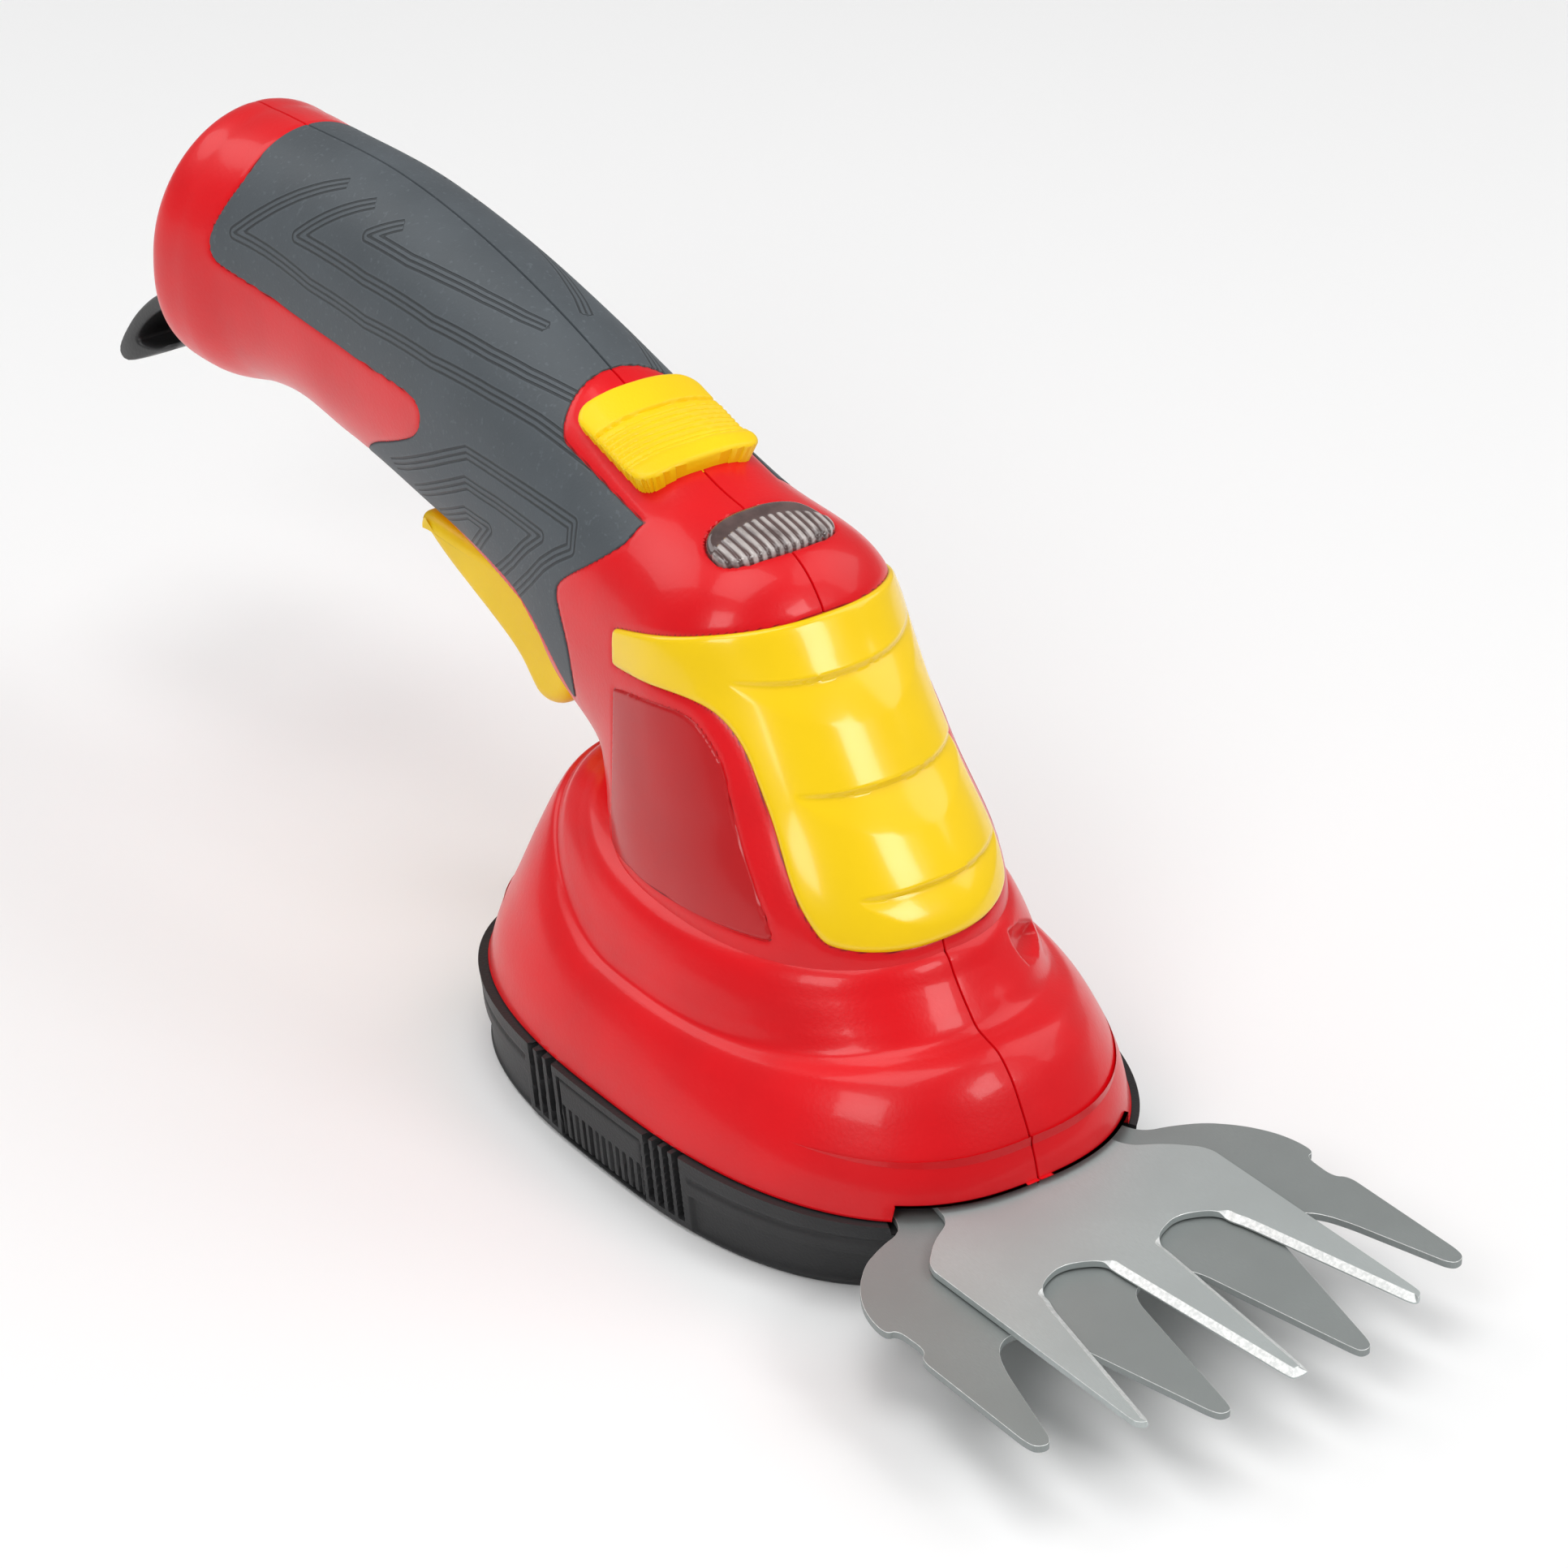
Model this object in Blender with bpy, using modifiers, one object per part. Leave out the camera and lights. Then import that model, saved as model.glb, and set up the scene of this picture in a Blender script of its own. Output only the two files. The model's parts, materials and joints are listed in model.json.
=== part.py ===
"""Cordless grass shears: a two-shell housing with soft grips, a front cover, a base,
a pair of toothed blades and the drive that swings the upper blade.

Lengths are in millimetres here and become metres when a mesh is made.
+X points to the blade tips, y = 0 is the plane where the two shells meet,
and z = 0 is the flat underside of the base.
"""
import math

import bmesh
import bpy
import numpy as np
from mathutils import Matrix

MM = 0.001

# Overall sizes
HANDLE_LENGTH = 158.0        # from the middle of the head to the rear face of the handle
HEAD_WIDTH = 76.0            # across the skirt of the head
BLADE_WIDTH = 81.4           # across the outer teeth of the lower blade
BLADE_REACH = 120.5          # from the middle of the head to the tips of the middle teeth
NOMINAL_HANDLE = 158.0       # the handle length that the section stations are written for
NOMINAL_HEAD = 76.0          # the head width that the level widths are written for
NOMINAL_BLADE = 81.4         # the blade width that the tooth places are written for
NOMINAL_REACH = 120.5        # the blade reach that the tooth places are written for
NECK_BACK = -20.0            # stations behind this one stretch with the handle

# Walls and gaps
GAP = 0.3                    # gap that touching pieces keep
SEAM = 0.3                   # gap between the two shells
HANDLE_WALL = 3.2
HEAD_WALL = 2.4
GRIP_THICKNESS = 1.5
COVER_THICKNESS = 1.8
LABEL_THICKNESS = 0.6
LENS_THICKNESS = 2.0

# Head and base heights
SKIRT_BOTTOM = 14.4
FRONT_NOTCH_TOP = 16.9
SLOT_SIDE_CLEARANCE = 1.8      # beside the lower blade where it passes the rim of the base
NOTCH_STEP = 1.0               # the notch in the shells is this much narrower on each side
BASE_FLOOR = 2.0
BASE_RIM = 14.1
BLADE_SLOT_BOTTOM = 12.9

# Blades
LOWER_BLADE_BOTTOM = 13.2
LOWER_BLADE_THICKNESS = 1.2
UPPER_BLADE_THICKNESS = 1.1
PIVOT_X = 40.0
PIVOT_RADIUS = 2.5
BLADE_REST_ANGLE = 0.5       # degrees
BLADE_LEVER = 30.0           # from the blade pivot back to the crank axis
CRANK_THROW = 3.2
CRANK_PIN_RADIUS = 1.5
YOKE_THICKNESS = 1.9

# Drive
MODULE = 0.8
MOTOR_TEETH = 9
WHEEL_TEETH = 32
PINION_TEETH = 10
CRANK_TEETH = 36
MOTOR_X = -14.0
MOTOR_DIAMETER = 24.4
MOTOR_HEIGHT = 28.0
MOTOR_SHAFT_RADIUS = 1.0
AXLE_RADIUS = 1.5
PLATE_BOTTOM = 30.0
PLATE_THICKNESS = 2.5

# Handle contents
CELL_DIAMETER = 18.4
CELL_LENGTH = 65.0
CELL_BACK = -146.0
UPPER_CELL_Z = 104.2
LOWER_CELL_Z = 85.3
CRADLE_THICKNESS = 3.0
BOARD_BOTTOM = 86.0
BOARD_THICKNESS = 1.6

# Controls
TRIGGER_HALF_WIDTH = 11.0
TRIGGER_PIN_X = -76.0
TRIGGER_PIN_Z = 76.5
TRIGGER_PIN_RADIUS = 1.5
SLIDER_LENGTH = 21.0
SLIDER_FRONT = -26.0
SLIDER_HALF_WIDTH = 9.5
SLIDER_TRAVEL = 4.0
BUTTON_HALF_LENGTH = 11.0
BUTTON_TRAVEL = 2.0

# Screws
BOSS_RADIUS = 3.3
SCREW_RADIUS = 1.3
SCREW_HEAD_RADIUS = 2.7
SCREW_HEAD_HEIGHT = 2.0
SCREW_SEAT_Y = 5.0

# Handle and neck: top x, top z, bottom x, bottom z, half width, widest height as a share,
# roundness of the upper half, roundness of the lower half
HANDLE_SECTIONS = [
    (-158.0, 112.0, -161.5, 76.0, 15.5, 0.50, 2.0, 2.3),
    (-155.0, 116.6, -159.0, 71.0, 19.6, 0.49, 2.0, 2.45),
    (-148.0, 117.8, -150.0, 69.5, 19.8, 0.49, 2.0, 2.4),
    (-139.0, 118.5, -138.0, 72.0, 18.0, 0.50, 2.05, 2.3),
    (-108.0, 120.0, -112.0, 71.0, 16.0, 0.50, 2.2, 2.3),
    (-85.0, 117.5, -92.0, 68.5, 16.2, 0.52, 2.2, 2.3),
    (-63.0, 112.5, -74.0, 66.0, 17.1, 0.52, 2.2, 2.3),
    (-47.0, 107.5, -61.0, 61.5, 18.0, 0.52, 2.3, 2.3),
    (-23.0, 100.0, -47.0, 54.0, 20.0, 0.55, 2.4, 2.3),
    (2.0, 94.0, -36.0, 49.0, 22.3, 0.62, 2.4, 2.4),
    (10.0, 84.0, -33.5, 47.0, 23.2, 0.55, 2.3, 2.4),
    (22.0, 68.0, -32.5, 46.0, 24.5, 0.50, 2.3, 2.4),
    (36.5, 46.7, -34.0, 43.0, 26.0, 0.50, 2.3, 2.3),
    (38.0, 38.0, -36.0, 37.0, 26.0, 0.50, 2.3, 2.3),
]

# Head: front reach, rear reach, half width, roundness in front, roundness behind,
# height, and how much the level rises towards the tail
HEAD_LEVELS = [
    (61.2, 58.0, 38.0, 2.53, 2.65, 14.4, 0.0),
    (59.4, 56.3, 37.6, 2.5, 2.6, 20.5, 2.5),
    (56.2, 53.8, 36.5, 2.45, 2.5, 26.5, 5.5),
    (52.8, 50.6, 34.3, 2.4, 2.4, 31.5, 9.5),
    (50.2, 48.0, 32.1, 2.37, 2.3, 33.8, 12.5),
    (46.0, 45.5, 31.2, 2.3, 2.3, 35.2, 14.0),
    (41.5, 43.0, 30.8, 2.3, 2.3, 38.5, 14.0),
    (39.3, 39.5, 30.2, 2.3, 2.3, 43.5, 11.0),
    (37.2, 36.0, 29.0, 2.3, 2.3, 48.0, 7.5),
    (33.0, 32.0, 26.6, 2.3, 2.3, 51.5, 4.5),
    (26.0, 26.0, 20.0, 2.3, 2.3, 53.0, 3.0),
]
TAIL_RISE_START = 5.0
TAIL_RISE_LENGTH = 45.0

# Base: front reach, rear reach, half width, height
BASE_LEVELS = [
    (55.4, 56.0, 37.2, 0.0),
    (56.4, 56.8, 37.9, 0.8),
    (61.4, 58.2, 39.0, 12.6),
    (61.8, 58.4, 39.2, BASE_RIM),
]
BASE_POCKET = (52.5, 53.0, 34.4)
BASE_ROUND_FRONT = 2.6
BASE_ROUND_REAR = 2.8

COLLECTION_NAME = "grass_shears"
CUTTER_COLLECTION_NAME = "grass_shears_cutters"


# ---- scene and materials -------------------------------------------------

def clear_scene():
    """Remove every object, so that the model starts from nothing."""
    for thing in list(bpy.data.objects):
        bpy.data.objects.remove(thing, do_unlink=True)


def new_collection(name):
    collection = bpy.data.collections.new(name)
    bpy.context.scene.collection.children.link(collection)
    return collection


def material(name, colour, roughness, metallic=0.0, alpha=1.0):
    """A Principled material with a plain colour."""
    made = bpy.data.materials.new(name)
    made.use_nodes = True
    shader = made.node_tree.nodes["Principled BSDF"]
    shader.inputs["Base Color"].default_value = (*colour, 1.0)
    shader.inputs["Roughness"].default_value = roughness
    shader.inputs["Metallic"].default_value = metallic
    shader.inputs["Alpha"].default_value = alpha
    made.diffuse_color = (*colour, alpha)
    return made


FINISHES = {
    "red_plastic": ((0.72, 0.01, 0.02), 0.35, 0.0),
    "soft_grip": ((0.09, 0.11, 0.13), 0.7, 0.0),
    "yellow_plastic": ((0.95, 0.66, 0.01), 0.28, 0.0),
    "black_plastic": ((0.03, 0.03, 0.03), 0.5, 0.0),
    "white_plastic": ((0.75, 0.74, 0.7), 0.5, 0.0),
    "lens_plastic": ((0.25, 0.18, 0.16), 0.15, 0.0),
    "label_film": ((0.5, 0.01, 0.02), 0.4, 0.0),
    "blade_steel": ((0.55, 0.58, 0.57), 0.35, 1.0),
    "bright_steel": ((0.6, 0.6, 0.6), 0.25, 1.0),
    "brass": ((0.7, 0.5, 0.2), 0.3, 1.0),
    "cell_wrap": ((0.1, 0.25, 0.5), 0.4, 0.0),
    "circuit_green": ((0.02, 0.2, 0.06), 0.5, 0.0),
    "led_green": ((0.2, 0.8, 0.2), 0.2, 0.0),
}


# ---- curves through control rows -----------------------------------------

def smooth_rows(rows, substeps):
    """Rows on a smooth curve through the given rows, with slopes from their neighbours."""
    rows = np.array(rows, dtype=float)
    reach = np.hypot(np.diff(rows[:, 0]), np.diff(rows[:, 1])) + 0.01
    knots = np.concatenate([[0.0], np.cumsum(reach)])
    slopes = np.diff(rows, axis=0) / reach[:, None]
    tangents = np.vstack([slopes[:1], slopes, slopes[-1:]])[:len(rows)].copy()
    before, after = reach[:-1, None], reach[1:, None]
    tangents[1:-1] = (slopes[:-1] * after + slopes[1:] * before) / (before + after)
    tangents[-1] = slopes[-1]
    made = []
    for index in range(len(rows) - 1):
        for step in range(substeps):
            u = step / substeps
            span = reach[index]
            start = (1 + 2 * u) * (1 - u) ** 2 * rows[index]
            start_turn = u * (1 - u) ** 2 * span * tangents[index]
            end = u * u * (3 - 2 * u) * rows[index + 1]
            end_turn = -u * u * (1 - u) * span * tangents[index + 1]
            made.append(start + start_turn + end + end_turn)
    made.append(rows[-1])
    return made


def station(x):
    """Where a nominal station along the handle lies at the present handle length."""
    if x > NECK_BACK:
        return x
    stretch = (HANDLE_LENGTH + NECK_BACK) / (NOMINAL_HANDLE + NECK_BACK)
    return NECK_BACK + (x - NECK_BACK) * stretch


def head_scale():
    return HEAD_WIDTH / NOMINAL_HEAD


def section_ring(row, points):
    """One closed ring of the handle: two half superellipses that meet at the widest height."""
    top_x, top_z, bottom_x, bottom_z, half, middle, upper, lower = row
    ring = []
    for index in range(points):
        angle = 2 * math.pi * index / points
        c, s = math.cos(angle), math.sin(angle)
        power = 2 / (upper if c >= 0 else lower)
        rise = abs(c) ** power
        share = middle + (1 - middle) * rise if c >= 0 else middle - middle * rise
        side = -half * math.copysign(abs(s) ** power, s)
        if index * 2 in (0, points):
            side = 0.0
        x = bottom_x + (top_x - bottom_x) * share
        z = bottom_z + (top_z - bottom_z) * share
        ring.append((x, side, z))
    return ring


def inset_section(row, inset):
    """The same section with its outline moved inwards; a negative inset grows it."""
    top_x, top_z, bottom_x, bottom_z, half, *shape = row
    height = math.hypot(top_x - bottom_x, top_z - bottom_z)
    along_x = (top_x - bottom_x) / height * inset
    along_z = (top_z - bottom_z) / height * inset
    return (top_x - along_x, top_z - along_z, bottom_x + along_x, bottom_z + along_z,
            half - inset, *shape)


def handle_rows(inset):
    rows = [(station(r[0]), r[1], station(r[2]), *r[3:]) for r in HANDLE_SECTIONS]
    rows = [(*r[:4], r[4] * (head_scale() if r[0] > 5 else 1.0), *r[5:]) for r in rows]
    rows = [inset_section(r, inset) for r in rows]
    ends = [(r[0] + inset, r[1], r[2] + inset, *r[3:]) for r in rows[:3]]
    return (ends + rows[3:])[1 if inset > 2 else 0:]


def handle_rings(inset, substeps=2, points=32):
    return [section_ring(r, points) for r in smooth_rows(handle_rows(inset), substeps)]


def plan_ring(front, rear, half, round_front, round_rear, height_at, points):
    """One closed ring seen from above: a superellipse with a longer front or rear."""
    ring = []
    for index in range(points):
        angle = 2 * math.pi * index / points
        c, s = math.cos(angle), math.sin(angle)
        power = 2 / (round_front if c >= 0 else round_rear)
        x = (front if c >= 0 else rear) * math.copysign(abs(c) ** power, c)
        y = -half * math.copysign(abs(s) ** power, s)
        if index * 2 in (0, points):
            y = 0.0
        ring.append((x, y, height_at(x)))
    return ring


def tail_rise(x):
    share = min(max((-x - TAIL_RISE_START) / TAIL_RISE_LENGTH, 0.0), 1.0)
    return share * share * (3 - 2 * share)


def head_rings(inset, points=40, floor=None):
    """Rings of the head, with the wall taken off the sides and the upper levels."""
    rings = []
    for number, row in enumerate(HEAD_LEVELS):
        front, rear, half, round_front, round_rear, height, rise = row
        drop = inset * min(number / 4, 1.0)
        height = height - drop
        if number == 0 and floor is not None:
            height = floor
        rings.append(plan_ring(front - inset, rear - inset, half * head_scale() - inset,
                               round_front, round_rear,
                               lambda x, z=height, r=rise: z + r * tail_rise(x), points))
    return rings


# ---- mesh building --------------------------------------------------------

class Workshop:
    """Holds the collections and materials, and makes named solids in them."""

    def __init__(self):
        self.parts = new_collection(COLLECTION_NAME)
        self.cutters = new_collection(CUTTER_COLLECTION_NAME)
        self.materials = {name: material(name, *values) for name, values in FINISHES.items()}

    def from_bmesh(self, name, shape, finish=None):
        """An object from a bmesh in millimetres. With no finish it is a cutter."""
        bmesh.ops.recalc_face_normals(shape, faces=shape.faces)
        bmesh.ops.scale(shape, vec=(MM, MM, MM), verts=shape.verts)
        data = bpy.data.meshes.new(name)
        shape.to_mesh(data)
        shape.free()
        made = bpy.data.objects.new(name, data)
        if finish is None:
            made.hide_render = True
            made.display_type = 'WIRE'
            self.cutters.objects.link(made)
        else:
            data.materials.append(self.materials[finish])
            self.parts.objects.link(made)
        return made

    def loft(self, name, rings, finish=None):
        """A closed solid through a row of rings, with a fan over each end."""
        shape = bmesh.new()
        rows = [[shape.verts.new(p) for p in ring] for ring in rings]
        for near, far in zip(rows, rows[1:]):
            for index in range(len(near)):
                after = (index + 1) % len(near)
                shape.faces.new((near[index], near[after], far[after], far[index]))
        for row in (rows[0], rows[-1]):
            middle = shape.verts.new(np.mean([v.co for v in row], axis=0))
            for index in range(len(row)):
                shape.faces.new((row[index], row[(index + 1) % len(row)], middle))
        return self.from_bmesh(name, shape, finish)

    def prism(self, name, outline, low, high, axis, finish=None):
        """A flat outline given a thickness: axis Y takes (x, z) points, axis Z takes (x, y)."""
        shape = bmesh.new()
        if axis == 'Y':
            points = [(x, low, z) for x, z in outline]
            move = (0, high - low, 0)
        else:
            points = [(x, y, low) for x, y in outline]
            move = (0, 0, high - low)
        face = shape.faces.new([shape.verts.new(p) for p in points])
        grown = bmesh.ops.extrude_face_region(shape, geom=[face])
        moved = [item for item in grown["geom"] if isinstance(item, bmesh.types.BMVert)]
        bmesh.ops.translate(shape, verts=moved, vec=move)
        return self.from_bmesh(name, shape, finish)

    def box(self, name, low, high, finish=None):
        shape = bmesh.new()
        bmesh.ops.create_cube(shape, size=1.0)
        size = [b - a for a, b in zip(low, high)]
        middle = [(a + b) / 2 for a, b in zip(low, high)]
        bmesh.ops.scale(shape, vec=size, verts=shape.verts)
        bmesh.ops.translate(shape, vec=middle, verts=shape.verts)
        return self.from_bmesh(name, shape, finish)

    def cylinder(self, name, centre, radius, low, high, axis='Z', finish=None, sides=24):
        """A round bar from low to high along an axis; centre is its place across that axis."""
        shape = bmesh.new()
        bmesh.ops.create_cone(shape, cap_ends=True, segments=sides, radius1=radius,
                              radius2=radius, depth=high - low)
        middle = (low + high) / 2
        if axis == 'Y':
            bmesh.ops.rotate(shape, verts=shape.verts, matrix=Matrix.Rotation(math.pi / 2, 3, 'X'))
            place = (centre[0], middle, centre[1])
        elif axis == 'X':
            bmesh.ops.rotate(shape, verts=shape.verts, matrix=Matrix.Rotation(math.pi / 2, 3, 'Y'))
            place = (middle, centre[0], centre[1])
        else:
            place = (centre[0], centre[1], middle)
        bmesh.ops.translate(shape, vec=place, verts=shape.verts)
        return self.from_bmesh(name, shape, finish)

    def turned(self, name, profile, place, finish, axis='Z', steps=24):
        """A turned piece: the profile runs down its outer side, from top to bottom."""
        data = bpy.data.meshes.new(name)
        points = [(r * MM, 0.0, z * MM) for r, z in profile]
        closed = all(r > 0 for r, _ in profile)
        edges = [(i, i + 1) for i in range(len(points) - 1)]
        if closed:
            edges.append((len(points) - 1, 0))
        data.from_pydata(points, edges, [])
        data.materials.append(self.materials[finish])
        made = bpy.data.objects.new(name, data)
        self.parts.objects.link(made)
        spin = made.modifiers.new("turn", 'SCREW')
        spin.steps = steps
        spin.render_steps = steps
        spin.use_merge_vertices = True
        spin.merge_threshold = 0.00001
        made.location = [value * MM for value in place]
        if axis == 'Y':
            made.rotation_euler = (-math.pi / 2, 0, 0)
        return made


def boolean(target, cutter, operation='DIFFERENCE', keep=False):
    """Cut, join or intersect the target with another solid, which is removed unless kept."""
    step = target.modifiers.new(operation.lower(), 'BOOLEAN')
    step.operation = operation
    step.object = cutter
    step.solver = 'EXACT'
    bpy.context.view_layer.update()
    graph = bpy.context.evaluated_depsgraph_get()
    data = bpy.data.meshes.new_from_object(target.evaluated_get(graph))
    finish = list(target.data.materials)
    target.modifiers.clear()
    target.data = data
    data.materials.clear()
    for item in finish:
        data.materials.append(item)
    clean_mesh(data)
    if not keep:
        bpy.data.objects.remove(cutter, do_unlink=True)
    return target


def clean_mesh(data):
    """Merge points that a cut left within a few thousandths of each other."""
    shape = bmesh.new()
    shape.from_mesh(data)
    bmesh.ops.remove_doubles(shape, verts=shape.verts, dist=0.002 * MM)
    bmesh.ops.dissolve_degenerate(shape, edges=shape.edges, dist=0.002 * MM)
    open_edges = [edge for edge in shape.edges if edge.is_boundary]
    if open_edges:
        bmesh.ops.holes_fill(shape, edges=open_edges, sides=6)
    for face in shape.faces:
        face.material_index = 0
    shape.to_mesh(data)
    shape.free()


def copy_of(shop, source, name, finish=None):
    made = bpy.data.objects.new(name, source.data.copy())
    made.data.materials.clear()
    if finish is None:
        made.hide_render = True
        made.display_type = 'WIRE'
        shop.cutters.objects.link(made)
    else:
        made.data.materials.append(shop.materials[finish])
        shop.parts.objects.link(made)
    return made


def grow_outline(outline, distance):
    """The outline moved outwards by a distance, corner by corner."""
    count = len(outline)
    area = sum(outline[i][0] * outline[(i + 1) % count][1]
               - outline[(i + 1) % count][0] * outline[i][1] for i in range(count))
    turn = 1.0 if area > 0 else -1.0
    grown = []
    for index in range(count):
        before = np.subtract(outline[index], outline[index - 1])
        after = np.subtract(outline[(index + 1) % count], outline[index])
        before = before / np.linalg.norm(before)
        after = after / np.linalg.norm(after)
        first = np.array([before[1], -before[0]]) * turn
        second = np.array([after[1], -after[0]]) * turn
        middle = first + second
        middle = middle / max(np.dot(middle, first), 0.5)
        grown.append(tuple(np.array(outline[index]) + middle * distance))
    return grown


def smooth_outline(corners, rounds=1):
    """Corners cut back to three quarters and one quarter of each side, to round them."""
    for _ in range(rounds):
        made = []
        for start, end in zip(corners, corners[1:] + corners[:1]):
            start, end = np.array(start), np.array(end)
            made.append(tuple(start * 0.75 + end * 0.25))
            made.append(tuple(start * 0.25 + end * 0.75))
        corners = made
    return corners


# ---- outlines on the housing ----------------------------------------------

FAR_OUT = 140.0

# Side outline of each grip, from the rear of its top edge round to its front
GRIP_OUTLINE = [
    (-138.3, FAR_OUT), (-138.3, 118.0), (-137.3, 113.0), (-139.8, 107.0), (-141.6, 102.0),
    (-140.6, 98.4), (-137.0, 97.4), (-125.0, 96.5), (-109.0, 95.4), (-97.0, 95.0),
    (-84.0, 95.4), (-81.0, 94.6), (-79.8, 92.4), (-81.8, 88.7), (-88.4, 84.9),
    (-101.0, 79.0), (-110.0, 71.0), (-110.0, 60.0), (-92.8, 60.0), (-92.8, 71.6),
    (-78.0, 73.6), (-63.6, 74.7), (-51.0, 73.7), (-44.0, 69.2), (-39.6, 64.8),
    (-36.0, 60.5), (-33.7, 66.0), (-33.7, 72.2), (-36.0, 76.8), (-37.8, 80.3),
    (-36.3, 83.0), (-27.0, 90.0), (-21.7, 95.6), (-21.7, FAR_OUT),
]
# Side outline of the opening that the trigger moves in
TRIGGER_OPENING = [
    (-92.0, 49.8), (-92.0, 70.6), (-78.0, 72.6), (-63.6, 73.6), (-51.0, 72.6),
    (-45.0, 68.2), (-43.2, 62.0), (-45.4, 53.4), (-47.0, 49.8),
]
# Side outline of the trigger: its finger side, then its back inside the handle
TRIGGER_OUTLINE = [
    (-90.6, 68.6), (-88.0, 66.6), (-82.5, 63.8), (-75.0, 60.9), (-68.0, 58.2), (-62.0, 55.4),
    (-58.5, 51.8), (-56.6, 50.4), (-53.6, 50.2), (-50.2, 51.6), (-47.4, 54.6), (-46.4, 59.0),
    (-47.6, 65.0), (-52.0, 69.6), (-63.6, 71.0), (-78.0, 70.4), (-90.0, 70.2),
]
# Side outline of the front cover
COVER_OUTLINE = [
    (-19.2, 81.3), (-10.0, 85.0), (-1.8, 87.9), (3.4, 89.2), (14.0, 91.0), (60.0, 80.0),
    (60.0, 47.4), (37.8, 47.4), (33.4, 48.2), (30.1, 49.1), (28.7, 50.5), (23.8, 54.5),
    (18.6, 61.2), (13.2, 68.4), (9.4, 73.2), (5.8, 76.5), (2.3, 78.2), (-3.2, 78.8),
    (-10.4, 77.6), (-19.2, 75.0),
]
# Side outline of the plain label under the cover's edge
LABEL_OUTLINE = [
    (-18.9, 72.0), (-8.0, 75.2), (-1.2, 75.2), (3.4, 72.9), (7.6, 68.4), (11.2, 63.2),
    (15.0, 57.6), (18.4, 53.6), (-15.4, 53.6), (-18.9, 58.7),
]
ISLAND_HALF_WIDTH = 12.6
ISLAND_BACK = -49.8
LENS_MIDDLE = -8.4
LENS_HALF_LENGTH = 5.9
LENS_HALF_WIDTH = 12.2


def along_handle(outline):
    return [(station(x), z) for x, z in outline]


def island_outline(grow=0.0):
    """The red patch round the lock slider, seen from above: straight sides and a round back."""
    half = ISLAND_HALF_WIDTH + grow
    back = station(ISLAND_BACK) - grow
    curve = 6.0
    points = [(10.0, half)]
    for step in range(9):
        angle = math.pi / 2 + step * math.pi / 8
        points.append((back + curve + curve * math.cos(angle), half * math.sin(angle)))
    points.append((10.0, -half))
    return points


def ellipse(centre_x, half_length, half_width, points=24):
    turns = [2 * math.pi * i / points for i in range(points)]
    return [(centre_x + half_length * math.cos(a), half_width * math.sin(a)) for a in turns]


# ---- housing, grips, cover, labels and lens --------------------------------

def body_solid(shop, inset, head_inset, floor=None, points=(32, 40), substeps=2):
    """The handle and head as one solid."""
    body = shop.loft("body", handle_rings(inset, substeps, points[0]))
    head = shop.loft("head", head_rings(head_inset, points[1], floor))
    return boolean(body, head, 'UNION')


def layer(shop, name, outline, inner, outer=0.0, finish=None):
    """The part of the handle's skin inside a side outline, between two depths."""
    piece = shop.loft(name, handle_rings(outer), finish)
    boolean(piece, shop.prism("edge", outline, -60, 60, 'Y'), 'INTERSECT')
    boolean(piece, shop.loft("inside", handle_rings(inner)))
    return piece


def grip_layer(shop, name, depth, grow, finish=None):
    piece = layer(shop, name, grow_outline(along_handle(GRIP_OUTLINE), grow), depth,
                  0.0 if finish else -1.0, finish)
    boolean(piece, shop.prism("island", island_outline(-grow), 60, FAR_OUT, 'Z'))
    return piece


def cover_layer(shop, name, depth, grow, finish=None):
    return layer(shop, name, grow_outline(COVER_OUTLINE, grow), depth,
                 0.0 if finish else -GAP, finish)


def label_layer(shop, name, depth, grow, finish=None):
    return layer(shop, name, grow_outline(LABEL_OUTLINE, grow), depth,
                 0.0 if finish else -GAP, finish)


def keep_side(shop, piece, side, seam=SEAM / 2):
    """Keep what lies on one side of the middle plane: +1 is left, -1 is right."""
    low, high = (seam, 80) if side > 0 else (-80, -seam)
    boolean(piece, shop.box("half", (-260, low, -20), (200, high, 200)), 'INTERSECT')
    return piece


def screw_places():
    """Name, x and z of each screw that holds the two shells together."""
    return [
        ("rear", station(-150.8), 108.0),
        ("grip", station(-71.5), 97.0),
        ("neck", -22.0, 75.0),
        ("front", 33.2, 40.4),
        ("tail", -41.0, 35.0),
    ]


def slot_half_width():
    """Half width of the blade slot in the base, clear of the blade inside the rim."""
    front, _, half, _ = BASE_LEVELS[-1]
    half = half * head_scale()
    inside = [y for x, y in LOWER_BLADE_HALF if x > PIVOT_X
              and (x / front) ** BASE_ROUND_FRONT + (y / half) ** BASE_ROUND_FRONT < 1]
    return max(inside) + SLOT_SIDE_CLEARANCE


def add_bosses(shop, shell):
    """Round posts across the housing, each with its ends inside the walls."""
    for _, x, z in screw_places():
        post = shop.cylinder("post", (x, z), BOSS_RADIUS, -60, 60, 'Y', sides=16)
        boolean(post, body_solid(shop, 2.6, 1.3), 'INTERSECT')
        boolean(shell, post, 'UNION')
    for _, x, z in screw_places():
        boolean(shell, shop.cylinder("bore", (x, z), SCREW_RADIUS + GAP, -9.5, 60, 'Y', sides=12))
        seat = shop.cylinder("seat", (x, z), SCREW_HEAD_RADIUS + GAP, SCREW_SEAT_Y, 60, 'Y',
                             sides=16)
        boolean(shell, seat)


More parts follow.
